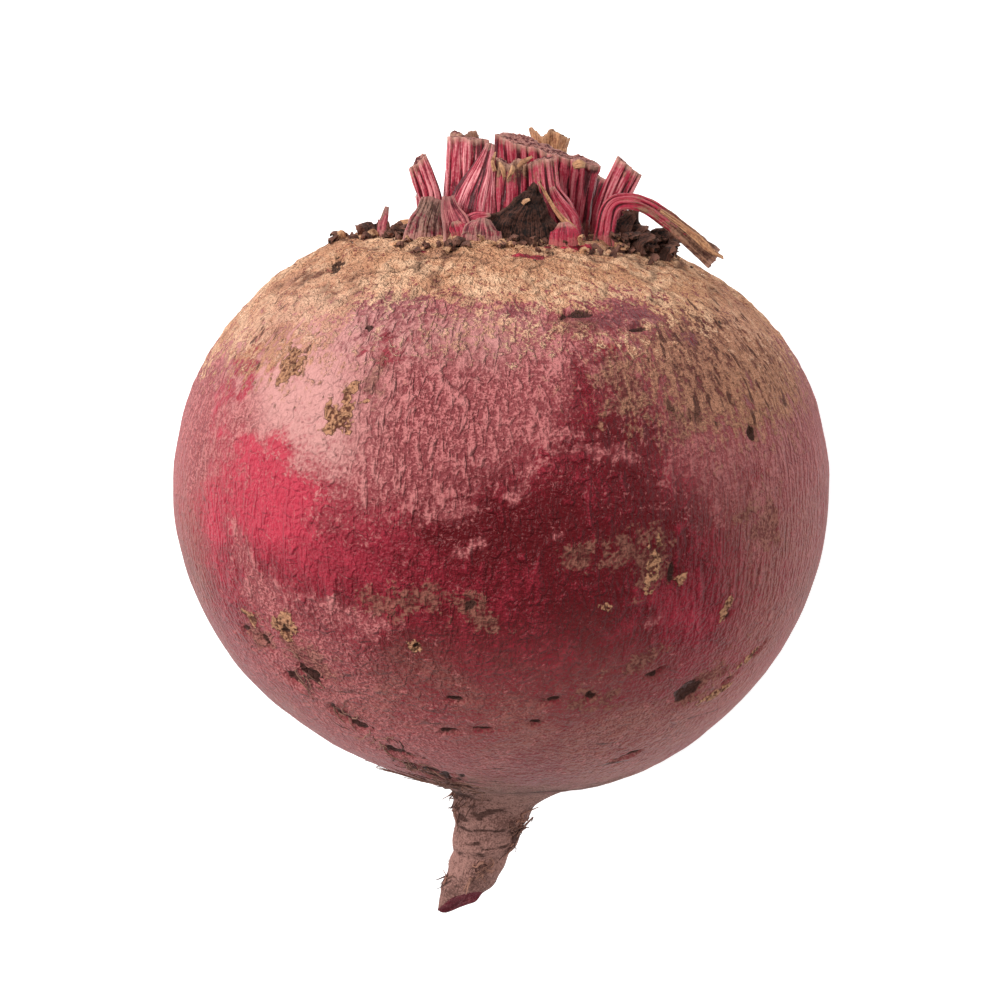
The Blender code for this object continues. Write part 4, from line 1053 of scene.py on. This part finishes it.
class Tree:
    """Adds nodes to one node tree, with a signal or a plain value for any input.

    laid is the colour that the layers laid so far have come to.
    """

    def __init__(self, tree: bpy.types.NodeTree) -> None:
        """Keeps the tree that the nodes go into."""
        self.tree, self.laid = tree, (0.0, 0.0, 0.0)

    def feed(self, socket: bpy.types.NodeSocket, value: Input) -> None:
        """Links a signal into the input, or sets its plain value."""
        if isinstance(value, Signal):
            self.tree.links.new(value.socket, socket)
        elif isinstance(value, tuple) and socket.type == "RGBA":
            socket.default_value = (*value, 1.0)
        else:
            socket.default_value = value

    def node(self, kind: str, inputs: dict, output: int | str = 0, **settings: object) -> Signal:
        """An output of a new node of a kind, with its settings and inputs."""
        made = self.tree.nodes.new(kind)
        for key, value in settings.items():
            setattr(made, key, value)
        for key, value in inputs.items():
            self.feed(made.inputs[key], value)
        return Signal(self, made.outputs[output])

    def math(self, operation: str, first: Input, second: Input = 0.0, clamp: bool = False) -> Signal:
        """One step of arithmetic."""
        return self.node("ShaderNodeMath", {0: first, 1: second}, operation=operation, use_clamp=clamp)

    def held(self, value: Input) -> Signal:
        """A value held between 0 and 1."""
        return self.math("MULTIPLY", value, 1.0, clamp=True)

    def most(self, *terms: Input) -> Input:
        """The largest of the terms."""
        found = terms[0]
        for term in terms[1:]:
            found = self.math("MAXIMUM", found, term)
        return found

    def colour(self, factor: Input, first: Input, second: Input) -> Signal:
        """The second colour laid over the first by a factor."""
        return self.node("ShaderNodeMix", {0: factor, 6: first, 7: second}, 2, data_type="RGBA")

    def lay(self, cover: Input, colour: Input) -> None:
        """Lays a colour over those already laid."""
        self.laid = self.colour(cover, self.laid, colour)

    def number(self, factor: Input, first: Input, second: Input) -> Signal:
        """The second number laid over the first by a factor."""
        return self.node("ShaderNodeMix", {0: factor, 2: first, 3: second}, data_type="FLOAT")

    def step(self, value: Input, low: Input, high: Input) -> Signal:
        """0 at low, 1 at high, and an even S between."""
        return self.node("ShaderNodeMapRange", {0: value, 1: low, 2: high}, interpolation_type="SMOOTHSTEP")

    def scaled(self, place: Input, axes: tuple[float, float, float]) -> Signal:
        """A place with each of its axes multiplied."""
        return self.node("ShaderNodeVectorMath", {0: place, 1: axes}, operation="MULTIPLY")

    def millimetres(self) -> Signal:
        """The place on the object, in millimetres."""
        return self.scaled(self.node("ShaderNodeTexCoord", {}, "Object"), (1000.0, 1000.0, 1000.0))

    def number_of(self, name: str) -> Signal:
        """A value that rides on the points."""
        return self.node("ShaderNodeAttribute", {}, "Fac", attribute_name=name)

    def place_of(self, name: str) -> Signal:
        """A place that rides on the points."""
        return self.node("ShaderNodeAttribute", {}, "Vector", attribute_name=name)

    def effect(self, name: str, **inputs: Input) -> Signal:
        """A shared effect with its own values."""
        named = {key.replace("_", " "): value for key, value in inputs.items()}
        return self.node("ShaderNodeGroup", named, node_tree=bpy.data.node_groups[name])

    def uneven(
        self, place: Input, size: float, detail: float = 3.0, rough: float = 0.55, axes: tuple = EVEN,
        warp: float = 0.5,
    ) -> Signal:
        """Noise from about -1 to 1, in warped blotches about size mm wide, longer if an axis is below 1."""
        place = place if axes == EVEN else self.scaled(place, axes)
        return self.effect("uneven", Place=place, Per_mm=1.0 / size, Detail=detail, Rough=rough, Warp=warp)

    def plain(
        self, place: Input, size: float, detail: float = 1.0, rough: float = 0.45, axes: tuple = EVEN
    ) -> Signal:
        """Noise like uneven, without the warp."""
        return self.uneven(place, size, detail, rough, axes, 0.0)

    def cover(self, mask: Input, pattern: Input, soft: Input = 0.3) -> Signal:
        """A layer's ragged cover."""
        return self.effect("cover", Mask=mask, Pattern=pattern, Soft=soft)

    def dashes(self, place: Input, size: float, level: float, axes: tuple = EVEN) -> Signal:
        """Dashes about half of size wide, longer where an axis is below 1."""
        place = place if axes == EVEN else self.scaled(place, axes)
        return self.effect("dashes", Place=place, Per_mm=1.0 / size, Level=level)

    def shaded(self, roughness: Input, height: Input, **more: Input) -> None:
        """Gives the Principled shader the colour laid so far, and a bump with its height in mm."""
        bump = self.node("ShaderNodeBump", {"Strength": 1.0, "Distance": MM, "Height": height})
        named = {key.replace("_", " "): value for key, value in more.items()}
        inputs = {"Base Color": self.laid, "Roughness": roughness, "Normal": bump} | named
        for key, value in inputs.items():
            self.feed(self.tree.nodes["Principled BSDF"].inputs[key], value)


def uneven_formula(
    tree: Tree, place: Signal, per_mm: Signal, detail: Signal, rough: Signal, warp: Signal
) -> Signal:
    """Noise spread over about -1 to 1, so that it can be weighed against other terms."""
    inputs = {"Vector": place, "Scale": per_mm, "Detail": detail, "Roughness": rough, "Distortion": warp}
    return (tree.node("ShaderNodeTexNoise", inputs) - 0.5) * 4.4


def cover_formula(tree: Tree, mask: Signal, pattern: Signal, soft: Signal) -> Signal:
    """Where a layer lies: as much of the surface as Mask says, on the high places of Pattern first."""
    raised = (mask - 0.5) * 2.8 + pattern
    return tree.step(raised, soft * -1.0, soft) * tree.step(mask, 0.0, 0.12)


def dash_formula(tree: Tree, place: Signal, per_mm: Signal, level: Signal) -> Signal:
    """Short dashes or dots, where noise passes a level."""
    inputs = {"Vector": place, "Scale": per_mm, "Detail": 2.0, "Roughness": 0.5}
    return tree.math("MULTIPLY", tree.node("ShaderNodeTexNoise", inputs) - level, 18.0, clamp=True)


def share_effect(name: str, inputs: tuple[str, ...], formula: Callable[..., Signal]) -> None:
    """Makes a shared effect: a node group with named inputs, and one output that its formula gives.

    Args:
        name: The effect's name.
        inputs: The names of its inputs. The one named Place is a place and the rest are numbers.
        formula: Works out the output from the group's tree and its inputs.
    """
    group = bpy.data.node_groups.new(name, "ShaderNodeTree")
    for key in inputs:
        kind = "NodeSocketVector" if key == "Place" else "NodeSocketFloat"
        group.interface.new_socket(name=key, in_out="INPUT", socket_type=kind)
    group.interface.new_socket(name="Mask", in_out="OUTPUT", socket_type="NodeSocketFloat")
    tree = Tree(group)
    given = group.nodes.new("NodeGroupInput").outputs
    result = formula(tree, *[Signal(tree, given[key]) for key in inputs])
    tree.feed(group.nodes.new("NodeGroupOutput").inputs[0], result)


def share_effects() -> None:
    """Makes the three effects that the finishes share."""
    share_effect("uneven", ("Place", "Per mm", "Detail", "Rough", "Warp"), uneven_formula)
    share_effect("cover", ("Mask", "Pattern", "Soft"), cover_formula)
    share_effect("dashes", ("Place", "Per mm", "Level"), dash_formula)


def new_material(name: str) -> tuple[bpy.types.Material, Tree]:
    """A material with only its Principled shader, and its tree."""
    made = bpy.data.materials.new(name)
    made.use_nodes = True
    return made, Tree(made.node_tree)


@dataclass(frozen=True)
class SkinFinish:
    """Beet skin: clean red under dust, earthy film, corky crown, brown shoulders, scabs and bark."""

    crimson: Colour = (0.46, 0.030, 0.058)
    maroon: Colour = (0.095, 0.002, 0.005)
    # The dust's pink with a painted highlight for the ridges, and next the same pink in painted shade for
    # the low places between them.
    dust: Colour = (0.50, 0.158, 0.154)
    dust_in_shade: Colour = (0.210, 0.040, 0.043)
    dust_pale: Colour = (0.56, 0.265, 0.240)
    haze: Colour = (0.340, 0.072, 0.080)
    valley: Colour = (0.095, 0.010, 0.014)
    film: Colour = (0.205, 0.055, 0.051)
    film_pale: Colour = (0.330, 0.115, 0.095)
    purple: Colour = (0.125, 0.022, 0.027)
    cork: Colour = (0.60, 0.290, 0.158)
    cork_pale: Colour = (0.86, 0.520, 0.320)
    cork_deep: Colour = (0.250, 0.088, 0.050)
    dash: Colour = (0.075, 0.022, 0.017)
    veil: Colour = (0.46, 0.212, 0.130)
    veil_deep: Colour = (0.100, 0.030, 0.022)
    earth: Colour = (0.300, 0.135, 0.094)
    earth_deep: Colour = (0.095, 0.034, 0.026)
    scab: Colour = (0.47, 0.225, 0.125)
    scab_deep: Colour = (0.100, 0.034, 0.020)
    hollow: Colour = (0.040, 0.016, 0.012)
    bark: Colour = (0.35, 0.180, 0.150)
    bark_deep: Colour = (0.165, 0.078, 0.064)
    cut: Colour = (0.150, 0.018, 0.030)
    cut_ring: Colour = (0.30, 0.075, 0.085)

    def build(self) -> bpy.types.Material:
        """Lays the finishes over each other from the clean red up."""
        made, tree = new_material("beet_skin")
        place, flow, mask = tree.millimetres(), tree.place_of("flow"), tree.number_of
        step, mix, tone, cover = tree.step, tree.number, tree.colour, tree.cover
        furrow = tree.uneven(flow, 1.3, 2.0, 0.45, (1.0, 1.0, 0.3))
        crumple = tree.uneven(place, 1.35, 2.0, 0.45)
        arcs = tree.plain(flow, 1.1, axes=(0.35, 0.35, 1.0))
        grain = tree.plain(place, 0.46)
        streak = tree.plain(flow, 0.9, 2.0, axes=(1.0, 1.0, 0.25))
        thread = tree.plain(flow, 0.55, axes=(1.0, 1.0, 0.16))
        tiny = tree.plain(place, 0.23, 0.0)
        broad = tree.uneven(place, 8.0, 1.0)
        furrowed, bloom = mask("furrowed"), mask("bloom")
        creased = abs(furrow) * 2.1 - 0.75
        knobbed = abs(crumple) * 1.9 - 0.6
        ridges = creased * mix(furrowed, 0.10, 0.75) + furrow * mix(furrowed, 0.10, 0.50) + knobbed * 0.35
        ridges = ridges + crumple * 0.30 + arcs * mix(furrowed, 0.20, 0.05)
        ridges = ridges + thread * mask("threads") * 0.45 + grain * 0.22
        deep = mask("deep") + broad * 0.2 + ridges * -0.22 + tiny * 0.14
        tree.laid = tone(tree.held(deep), self.crimson, self.maroon)
        faded = broad + mask("soil") + mask("rim") * 1.4
        film = mask("film") * (0.8 + crumple * 0.3 + grain * 0.2 + tiny * 0.3)
        tree.lay(tree.held(film), tone(step(faded, -0.4, 1.6), self.film, self.film_pale))
        tree.lay(cover(mask("purple"), crumple * 0.9, 0.6) * 0.85, self.purple)
        flecks = 0.45 - abs(crumple) * 2.6 + arcs * 0.35 + grain * 0.45
        combed = ridges + grain * 0.3
        thickly = step(bloom, 0.3, 0.7)
        dust = cover(bloom, mix(thickly, flecks, combed), mix(thickly, 0.4, 0.85))
        dust = dust * mix(step(bloom, 0.1, 0.8), 0.65, 0.95)
        tree.lay(step(bloom, 0.25, 0.9) * 0.75, self.haze)
        pale = mask("pale") + broad * 0.12 + ridges * 0.15
        # The dust is lighter on the ridges and darker off them: painted highlight and shade on the relief,
        # over the dust's own pink.
        lit = step(ridges + grain * 0.4 + tiny * 0.45, -0.7, 0.7)
        powder = tone(step(pale, 0.0, 0.95), tone(lit, self.dust_in_shade, self.dust), self.dust_pale)
        powder = tone(mask("threads") * 0.4, powder, self.film)
        tree.lay(dust, tone(step(ridges, -1.15, -0.4), self.valley, powder))
        soil = cover(mask("earth"), crumple * 0.8 + grain * 1.1, 0.8)
        tree.lay(soil * 0.6, tone(step(crumple + grain, -0.9, 1.0), self.earth_deep, self.earth))
        weave = streak * 0.7 + crumple * 0.45 + grain * 0.4
        veil = cover(mask("veil"), weave, 0.6)
        veil_brown = tone(step(weave, -0.75, 0.45), self.veil_deep, self.veil)
        veil_tan = tone(step(weave, -0.8, 0.0), self.cork_deep, self.cork)
        tree.lay(veil * 0.9, tone(mask("pale") * 0.8, veil_brown, veil_tan))
        crumb = crumple * 0.75 + grain * 0.6 + streak * 0.35 + tiny * 0.25
        cork = cover(mask("cork"), crumb * 1.2, 0.5)
        tan = tone(step(broad + crumple, -0.6, 1.4), self.cork, self.cork_pale)
        tan = tone(step(broad + 0.3, 0.0, -1.2) * 0.6, tan, self.earth)
        tan = tone(mask("pale") * 0.6, tan, self.dust_pale)
        tree.lay(cork, tone(step(crumb, -1.15, -0.25), self.cork_deep, tan))
        raw = cover(mask("raw"), crumple * 0.5, 0.5)
        tree.lay(raw, tone(step(crumple, -0.8, 0.8), self.maroon, self.crimson))
        dry = tree.most(cork, veil * 0.9) * mix(raw, 1.0, 0.1)
        lines = tree.dashes(flow, 1.25, 0.61, (1.0, 1.0, 0.24)) * tree.most(cork * 0.35, veil)
        tree.lay(lines * 0.85, self.dash)
        tree.lay(tree.dashes(place, 0.8, 0.69) * 0.45, self.dash)
        slits = tree.dashes(flow, 1.3, 0.685, (0.15, 0.15, 1.0)) * mask("soil")
        tree.lay(slits * 0.75, self.hollow)
        sores = cover(mask("scab"), crumple * 0.7 + grain * 0.5, 0.3)
        tree.lay(sores, tone(step(crumple + grain * 1.2, -0.9, 0.6), self.scab_deep, self.scab))
        wrinkles = tree.plain(flow, 1.0, axes=(0.3, 0.3, 1.0))
        rubbed = wrinkles * 0.35 + crumple * 0.3 + grain * 0.4 + broad * 0.6 + tiny * 0.5
        barked = cover(mask("tap"), crumple * 0.5, 0.7)
        tree.lay(barked, tone(step(rubbed, -0.9, 0.8), self.bark_deep, self.bark))
        # Dark crease lines across the tap root: painted shade in its folds.
        creases = tree.dashes(flow, 1.7, 0.595, (0.14, 0.14, 1.0)) * barked
        tree.lay(creases * 0.8, self.hollow)
        tree.lay(cover(mask("mat"), streak + grain, 0.6) * 0.8, self.hollow)
        tree.lay(mask("crack") * 0.75, self.dash)
        # Painted shade on the crown floor among the stalks, mottled with the crown's purple.
        tree.lay(mask("between") * 0.9, tone(step(grain, -1.0, 1.0), self.hollow, self.purple))
        tree.lay(cover(mask("hollow"), crumple * 0.6, 0.3) * 0.9, self.hollow)
        pulp = step(tree.uneven(place, 0.5, 2.0, axes=(1.0, 0.3, 0.3)), -0.2, 1.2)
        tree.lay(step(mask("cut"), 0.0, 0.02), tone(pulp, self.cut, self.cut_ring))
        rough = mix(dust, mix(film, 0.42, 0.55), 0.66)
        rough = mix(tree.most(dry, sores, soil, barked), rough, 0.9)
        height = ridges * mix(bloom, 0.28, 0.36) + crumb * dry * 0.24 + lines * -0.12
        height = height + soil * (grain * 0.06 + crumple * 0.05)
        height = height + sores * (0.2 + crumple * 0.3) + wrinkles * barked * 0.08 + creases * -0.25
        tree.shaded(rough, height, Specular_IOR_Level=0.15)
        return made


@dataclass(frozen=True)
class StalkFinish:
    """A leaf stalk or scale: ribs with dark grooves, dry fibres towards its tip, and a fibrous cut."""

    name: str
    crest: Colour
    flesh: Colour
    groove: Colour
    dry: Colour
    dry_deep: Colour
    cut: Colour
    rim: Colour
    roughness: float
    edging: float = 0.0
    footing: float = 0.7

    def build(self) -> bpy.types.Material:
        """Lays grooves, dust, dry fibres, edges and the cut over the fresh colour, the dust giving way to
        painted shade towards each stalk's base.
        """
        made, tree = new_material(self.name)
        strand, place, value = tree.place_of("strand"), tree.millimetres(), tree.number_of
        step, mix, tone, cover = tree.step, tree.number, tree.colour, tree.cover
        fibre = tree.uneven(strand, 0.34, 2.0, 0.5, (1.0, 0.07, 1.0))
        hair = tree.plain(strand, 0.2, 0.0, axes=(1.0, 0.05, 1.0))
        vein = tree.uneven(strand, 1.0, 2.0, 0.5, (1.0, 0.08, 1.0))
        mottle = tree.uneven(place, 1.0, 3.0, 0.55)
        grain = tree.plain(place, 0.32)
        pores = tree.plain(place, 0.4)
        crest = value("crest") * 0.75 + fibre * 0.35 + vein * 0.38 + mottle * 0.10
        tree.laid = tone(step(crest, 0.02, 0.42), self.groove, self.flesh)
        dusty = crest + grain * 0.15 + fibre * 0.25 + hair * 0.3
        # Pale crests fade from the tip towards the base: partly less dust there, partly painted shade where
        # the base is sheltered among the other stalks.
        high = mix(step(value("to_tip"), 4.0, 12.0), 1.15, 0.55)
        tree.lay(step(dusty, 0.25, 1.15) * value("dusty") * high, self.crest)
        shrunk = fibre * 0.7 + hair * 0.6 + mottle + grain * 0.6
        dry = cover(value("dry"), mottle * 0.7 + fibre * 0.6, 0.5)
        tree.lay(dry, tone(step(shrunk, -1.1, 1.1), self.dry_deep, self.dry))
        lip = 1.0 - step(value("to_tip") + mottle * 0.5, 0.0, 1.0)
        tree.lay(lip * 0.65, self.rim)
        tree.lay(cover(value("edge"), mottle * 0.9, 0.4) * self.edging, self.rim)
        foot = 1.0 - step(value("from_foot"), 0.6, 3.0)
        footed = cover(foot, mottle + grain * 0.5, 0.5)
        tree.lay(footed * self.footing, self.rim)
        tree.lay(value("cut"), tone(step(pores + mottle, -0.9, 0.6), self.groove, self.cut))
        dull = tree.most(dry, value("cut"), footed * 0.8)
        height = fibre * 0.07 + vein * 0.10 + mottle * dry * 0.10
        height = height + hair * mix(dry, 0.015, 0.04) + grain * 0.02 + pores * value("cut") * 0.08
        tree.shaded(mix(dull, self.roughness, 0.85), height, Specular_IOR_Level=0.3)
        return made


@dataclass(frozen=True)
class CrumbFinish:
    """Dry crumbs or hair roots: two tones that change from bit to bit, with a mottled grain."""

    name: str
    light: Colour
    dark: Colour

    def build(self) -> bpy.types.Material:
        """Mixes the two tones by each bit's own tone and by grain."""
        made, tree = new_material(self.name)
        grain = tree.uneven(tree.millimetres(), 0.5)
        tone = tree.step(tree.number_of("tone") + grain * 0.25, 0.0, 1.1)
        tree.laid = tree.colour(tone, self.dark, self.light)
        tree.shaded(0.9, grain * 0.06)
        return made


FRESH = StalkFinish(
    "fresh_stalk_finish", crest=(0.84, 0.31, 0.32), flesh=(0.38, 0.017, 0.044), groove=(0.07, 0.002, 0.006),
    dry=(0.34, 0.17, 0.105), dry_deep=(0.075, 0.026, 0.018), cut=(0.4, 0.17, 0.14), rim=(0.56, 0.31, 0.23),
    roughness=0.4, footing=0.25,
)
DRIED = StalkFinish(
    "dried_stalk_finish", crest=(0.62, 0.21, 0.2), flesh=(0.3, 0.035, 0.055), groove=(0.07, 0.005, 0.01),
    dry=(0.34, 0.18, 0.14), dry_deep=(0.055, 0.024, 0.018), cut=(0.26, 0.13, 0.08), rim=(0.44, 0.2, 0.17),
    roughness=0.6, edging=0.45,
)
DARK_SCALE = StalkFinish(
    "dry_scale_finish", crest=(0.1, 0.042, 0.03), flesh=(0.05, 0.018, 0.012), groove=(0.008, 0.003, 0.002),
    dry=(0.088, 0.032, 0.021), dry_deep=(0.006, 0.002, 0.001), cut=(0.1, 0.045, 0.025),
    rim=(0.26, 0.11, 0.075), roughness=0.8, edging=0.2, footing=0.15,
)
TAN_SCALE = StalkFinish(
    "tan_scrap_finish", crest=(0.62, 0.33, 0.175), flesh=(0.4, 0.17, 0.085), groove=(0.14, 0.05, 0.027),
    dry=(0.6, 0.3, 0.15), dry_deep=(0.17, 0.06, 0.03), cut=(0.44, 0.22, 0.12), rim=(0.62, 0.35, 0.2),
    roughness=0.75, edging=0.3, footing=0.2,
)
TAN_NODES = ("leaf_scrap_back",)
CRUMBS = CrumbFinish("crumb_finish", (0.62, 0.33, 0.190), (0.045, 0.020, 0.014))
HAIRS = CrumbFinish("hair_root_finish", (0.36, 0.17, 0.12), (0.07, 0.024, 0.018))


# The studio


@dataclass(frozen=True)
class Studio:
    """A pale floor, a soft key light from the upper left, and the camera that looks down on the beet.

    lift is how far the camera leans towards the crown, in degrees, and
    raise_mm how far over the middle of the picture the widest place stands.
    """

    lift: float = 10.0
    raise_mm: float = 1.38
    distance: float = 386.5
    lens: float = 100.0
    floor_size: float = 4.0
    floor: Colour = (0.93, 0.93, 0.93)
    floor_glow: float = 0.55
    world: float = 0.5
    key_from: tuple = (-0.68, 0.48, 0.70)
    key_distance: float = 0.75
    key_size: float = 0.42
    key_power: float = 5.5
    fill_from: tuple = (0.9, 0.1, 0.45)
    fill_size: float = 0.6
    fill_power: float = 1.5

    def light(self, name: str, direction: tuple, size: float, power: float) -> None:
        """A square soft light that looks at the beet from a direction."""
        lamp = bpy.data.lights.new(name, "AREA")
        lamp.shape = "SQUARE"
        lamp.size = size
        lamp.energy = power
        holder = bpy.data.objects.new(name, lamp)
        away = Vector(direction).normalized()
        holder.location = Vector((0.0, 0.0, REST_HEIGHT * MM)) + away * self.key_distance
        holder.rotation_euler = away.to_track_quat("Z", "Y").to_euler()
        bpy.context.scene.collection.objects.link(holder)

    def camera(self) -> None:
        """The camera, with the crown towards the top of the picture."""
        lean = math.radians(self.lift)
        back = Vector((0.0, math.sin(lean), math.cos(lean)))
        up = Vector((0.0, math.cos(lean), -math.sin(lean)))
        eye = bpy.data.cameras.new("camera")
        eye.lens = self.lens
        eye.sensor_width = 36.0
        eye.clip_start = 0.01
        holder = bpy.data.objects.new("camera", eye)
        place = Vector((0.0, 0.0, REST_HEIGHT)) - up * self.raise_mm + back * self.distance
        axes = Matrix((Vector((1.0, 0.0, 0.0)), up, back)).transposed().to_4x4()
        holder.matrix_world = Matrix.Translation(place * MM) @ axes
        bpy.context.scene.collection.objects.link(holder)
        bpy.context.scene.camera = holder

    def build(self) -> None:
        """Makes the floor, the lights, the world and the camera."""
        mesh = bpy.data.meshes.new("floor")
        half = self.floor_size / 2.0
        corners = [(-half, -half, 0), (half, -half, 0), (half, half, 0), (-half, half, 0)]
        mesh.from_pydata(corners, [], [(0, 1, 2, 3)])
        floor = bpy.data.objects.new("floor", mesh)
        bpy.context.scene.collection.objects.link(floor)
        material, tree = new_material("floor_finish")
        tree.laid = self.floor
        tree.shaded(0.9, 0.0, Emission_Color=(1.0, 1.0, 1.0), Emission_Strength=self.floor_glow)
        mesh.materials.append(material)
        world = bpy.data.worlds.new("studio")
        world.use_nodes = True
        sky = world.node_tree.nodes["Background"]
        sky.inputs["Color"].default_value = (1.0, 1.0, 1.0, 1.0)
        sky.inputs["Strength"].default_value = self.world
        bpy.context.scene.world = world
        self.light("key", self.key_from, self.key_size, self.key_power)
        self.light("fill", self.fill_from, self.fill_size, self.fill_power)
        self.camera()
        bpy.context.scene.view_settings.view_transform = "Standard"


def main() -> None:
    """Builds the beet's pieces in order, dresses them, and lights the studio."""
    logging.basicConfig(level=logging.INFO)
    shape, rosette, litter = RootShape(), Rosette(), Litter()
    share_effects()
    root = RootSkin(shape, Marks()).build()
    root.data.materials.append(SkinFinish().build())
    fresh, dried, dark, tan = (finish.build() for finish in (FRESH, DRIED, DARK_SCALE, TAN_SCALE))
    by_slot = {Slot.FRESH: fresh, Slot.DRIED: dried, Slot.SCALE: dark}
    for blade in rosette.blades():
        piece = make_piece(f"{blade.node}_look", [blade.build(shape)], blade.node)
        piece.data.materials.append(tan if blade.node in TAN_NODES else by_slot[blade.slot])
    loose = (
        ("inner_stalks", [blade.build(shape) for blade in rosette.hearts], Slot.FRESH, fresh),
        ("torn_edges", [blade.build(shape) for blade in rosette.edges], Slot.SCALE, tan),
        ("dark_flakes", litter.flakes(shape, False), Slot.SCALE, dark),
        ("tan_flakes", litter.flakes(shape, True), Slot.SCALE, tan),
        ("crumbs", litter.crumb_lumps(shape), Slot.SCALE, CRUMBS.build()),
        ("fine_roots", FineRoots().build(shape), Slot.ROOT, HAIRS.build()),
    )
    for name, surfaces, slot, finish in loose:
        make_piece(name, surfaces).data.materials.append(finish)
    Studio().build()


if __name__ == "__main__":
    main()
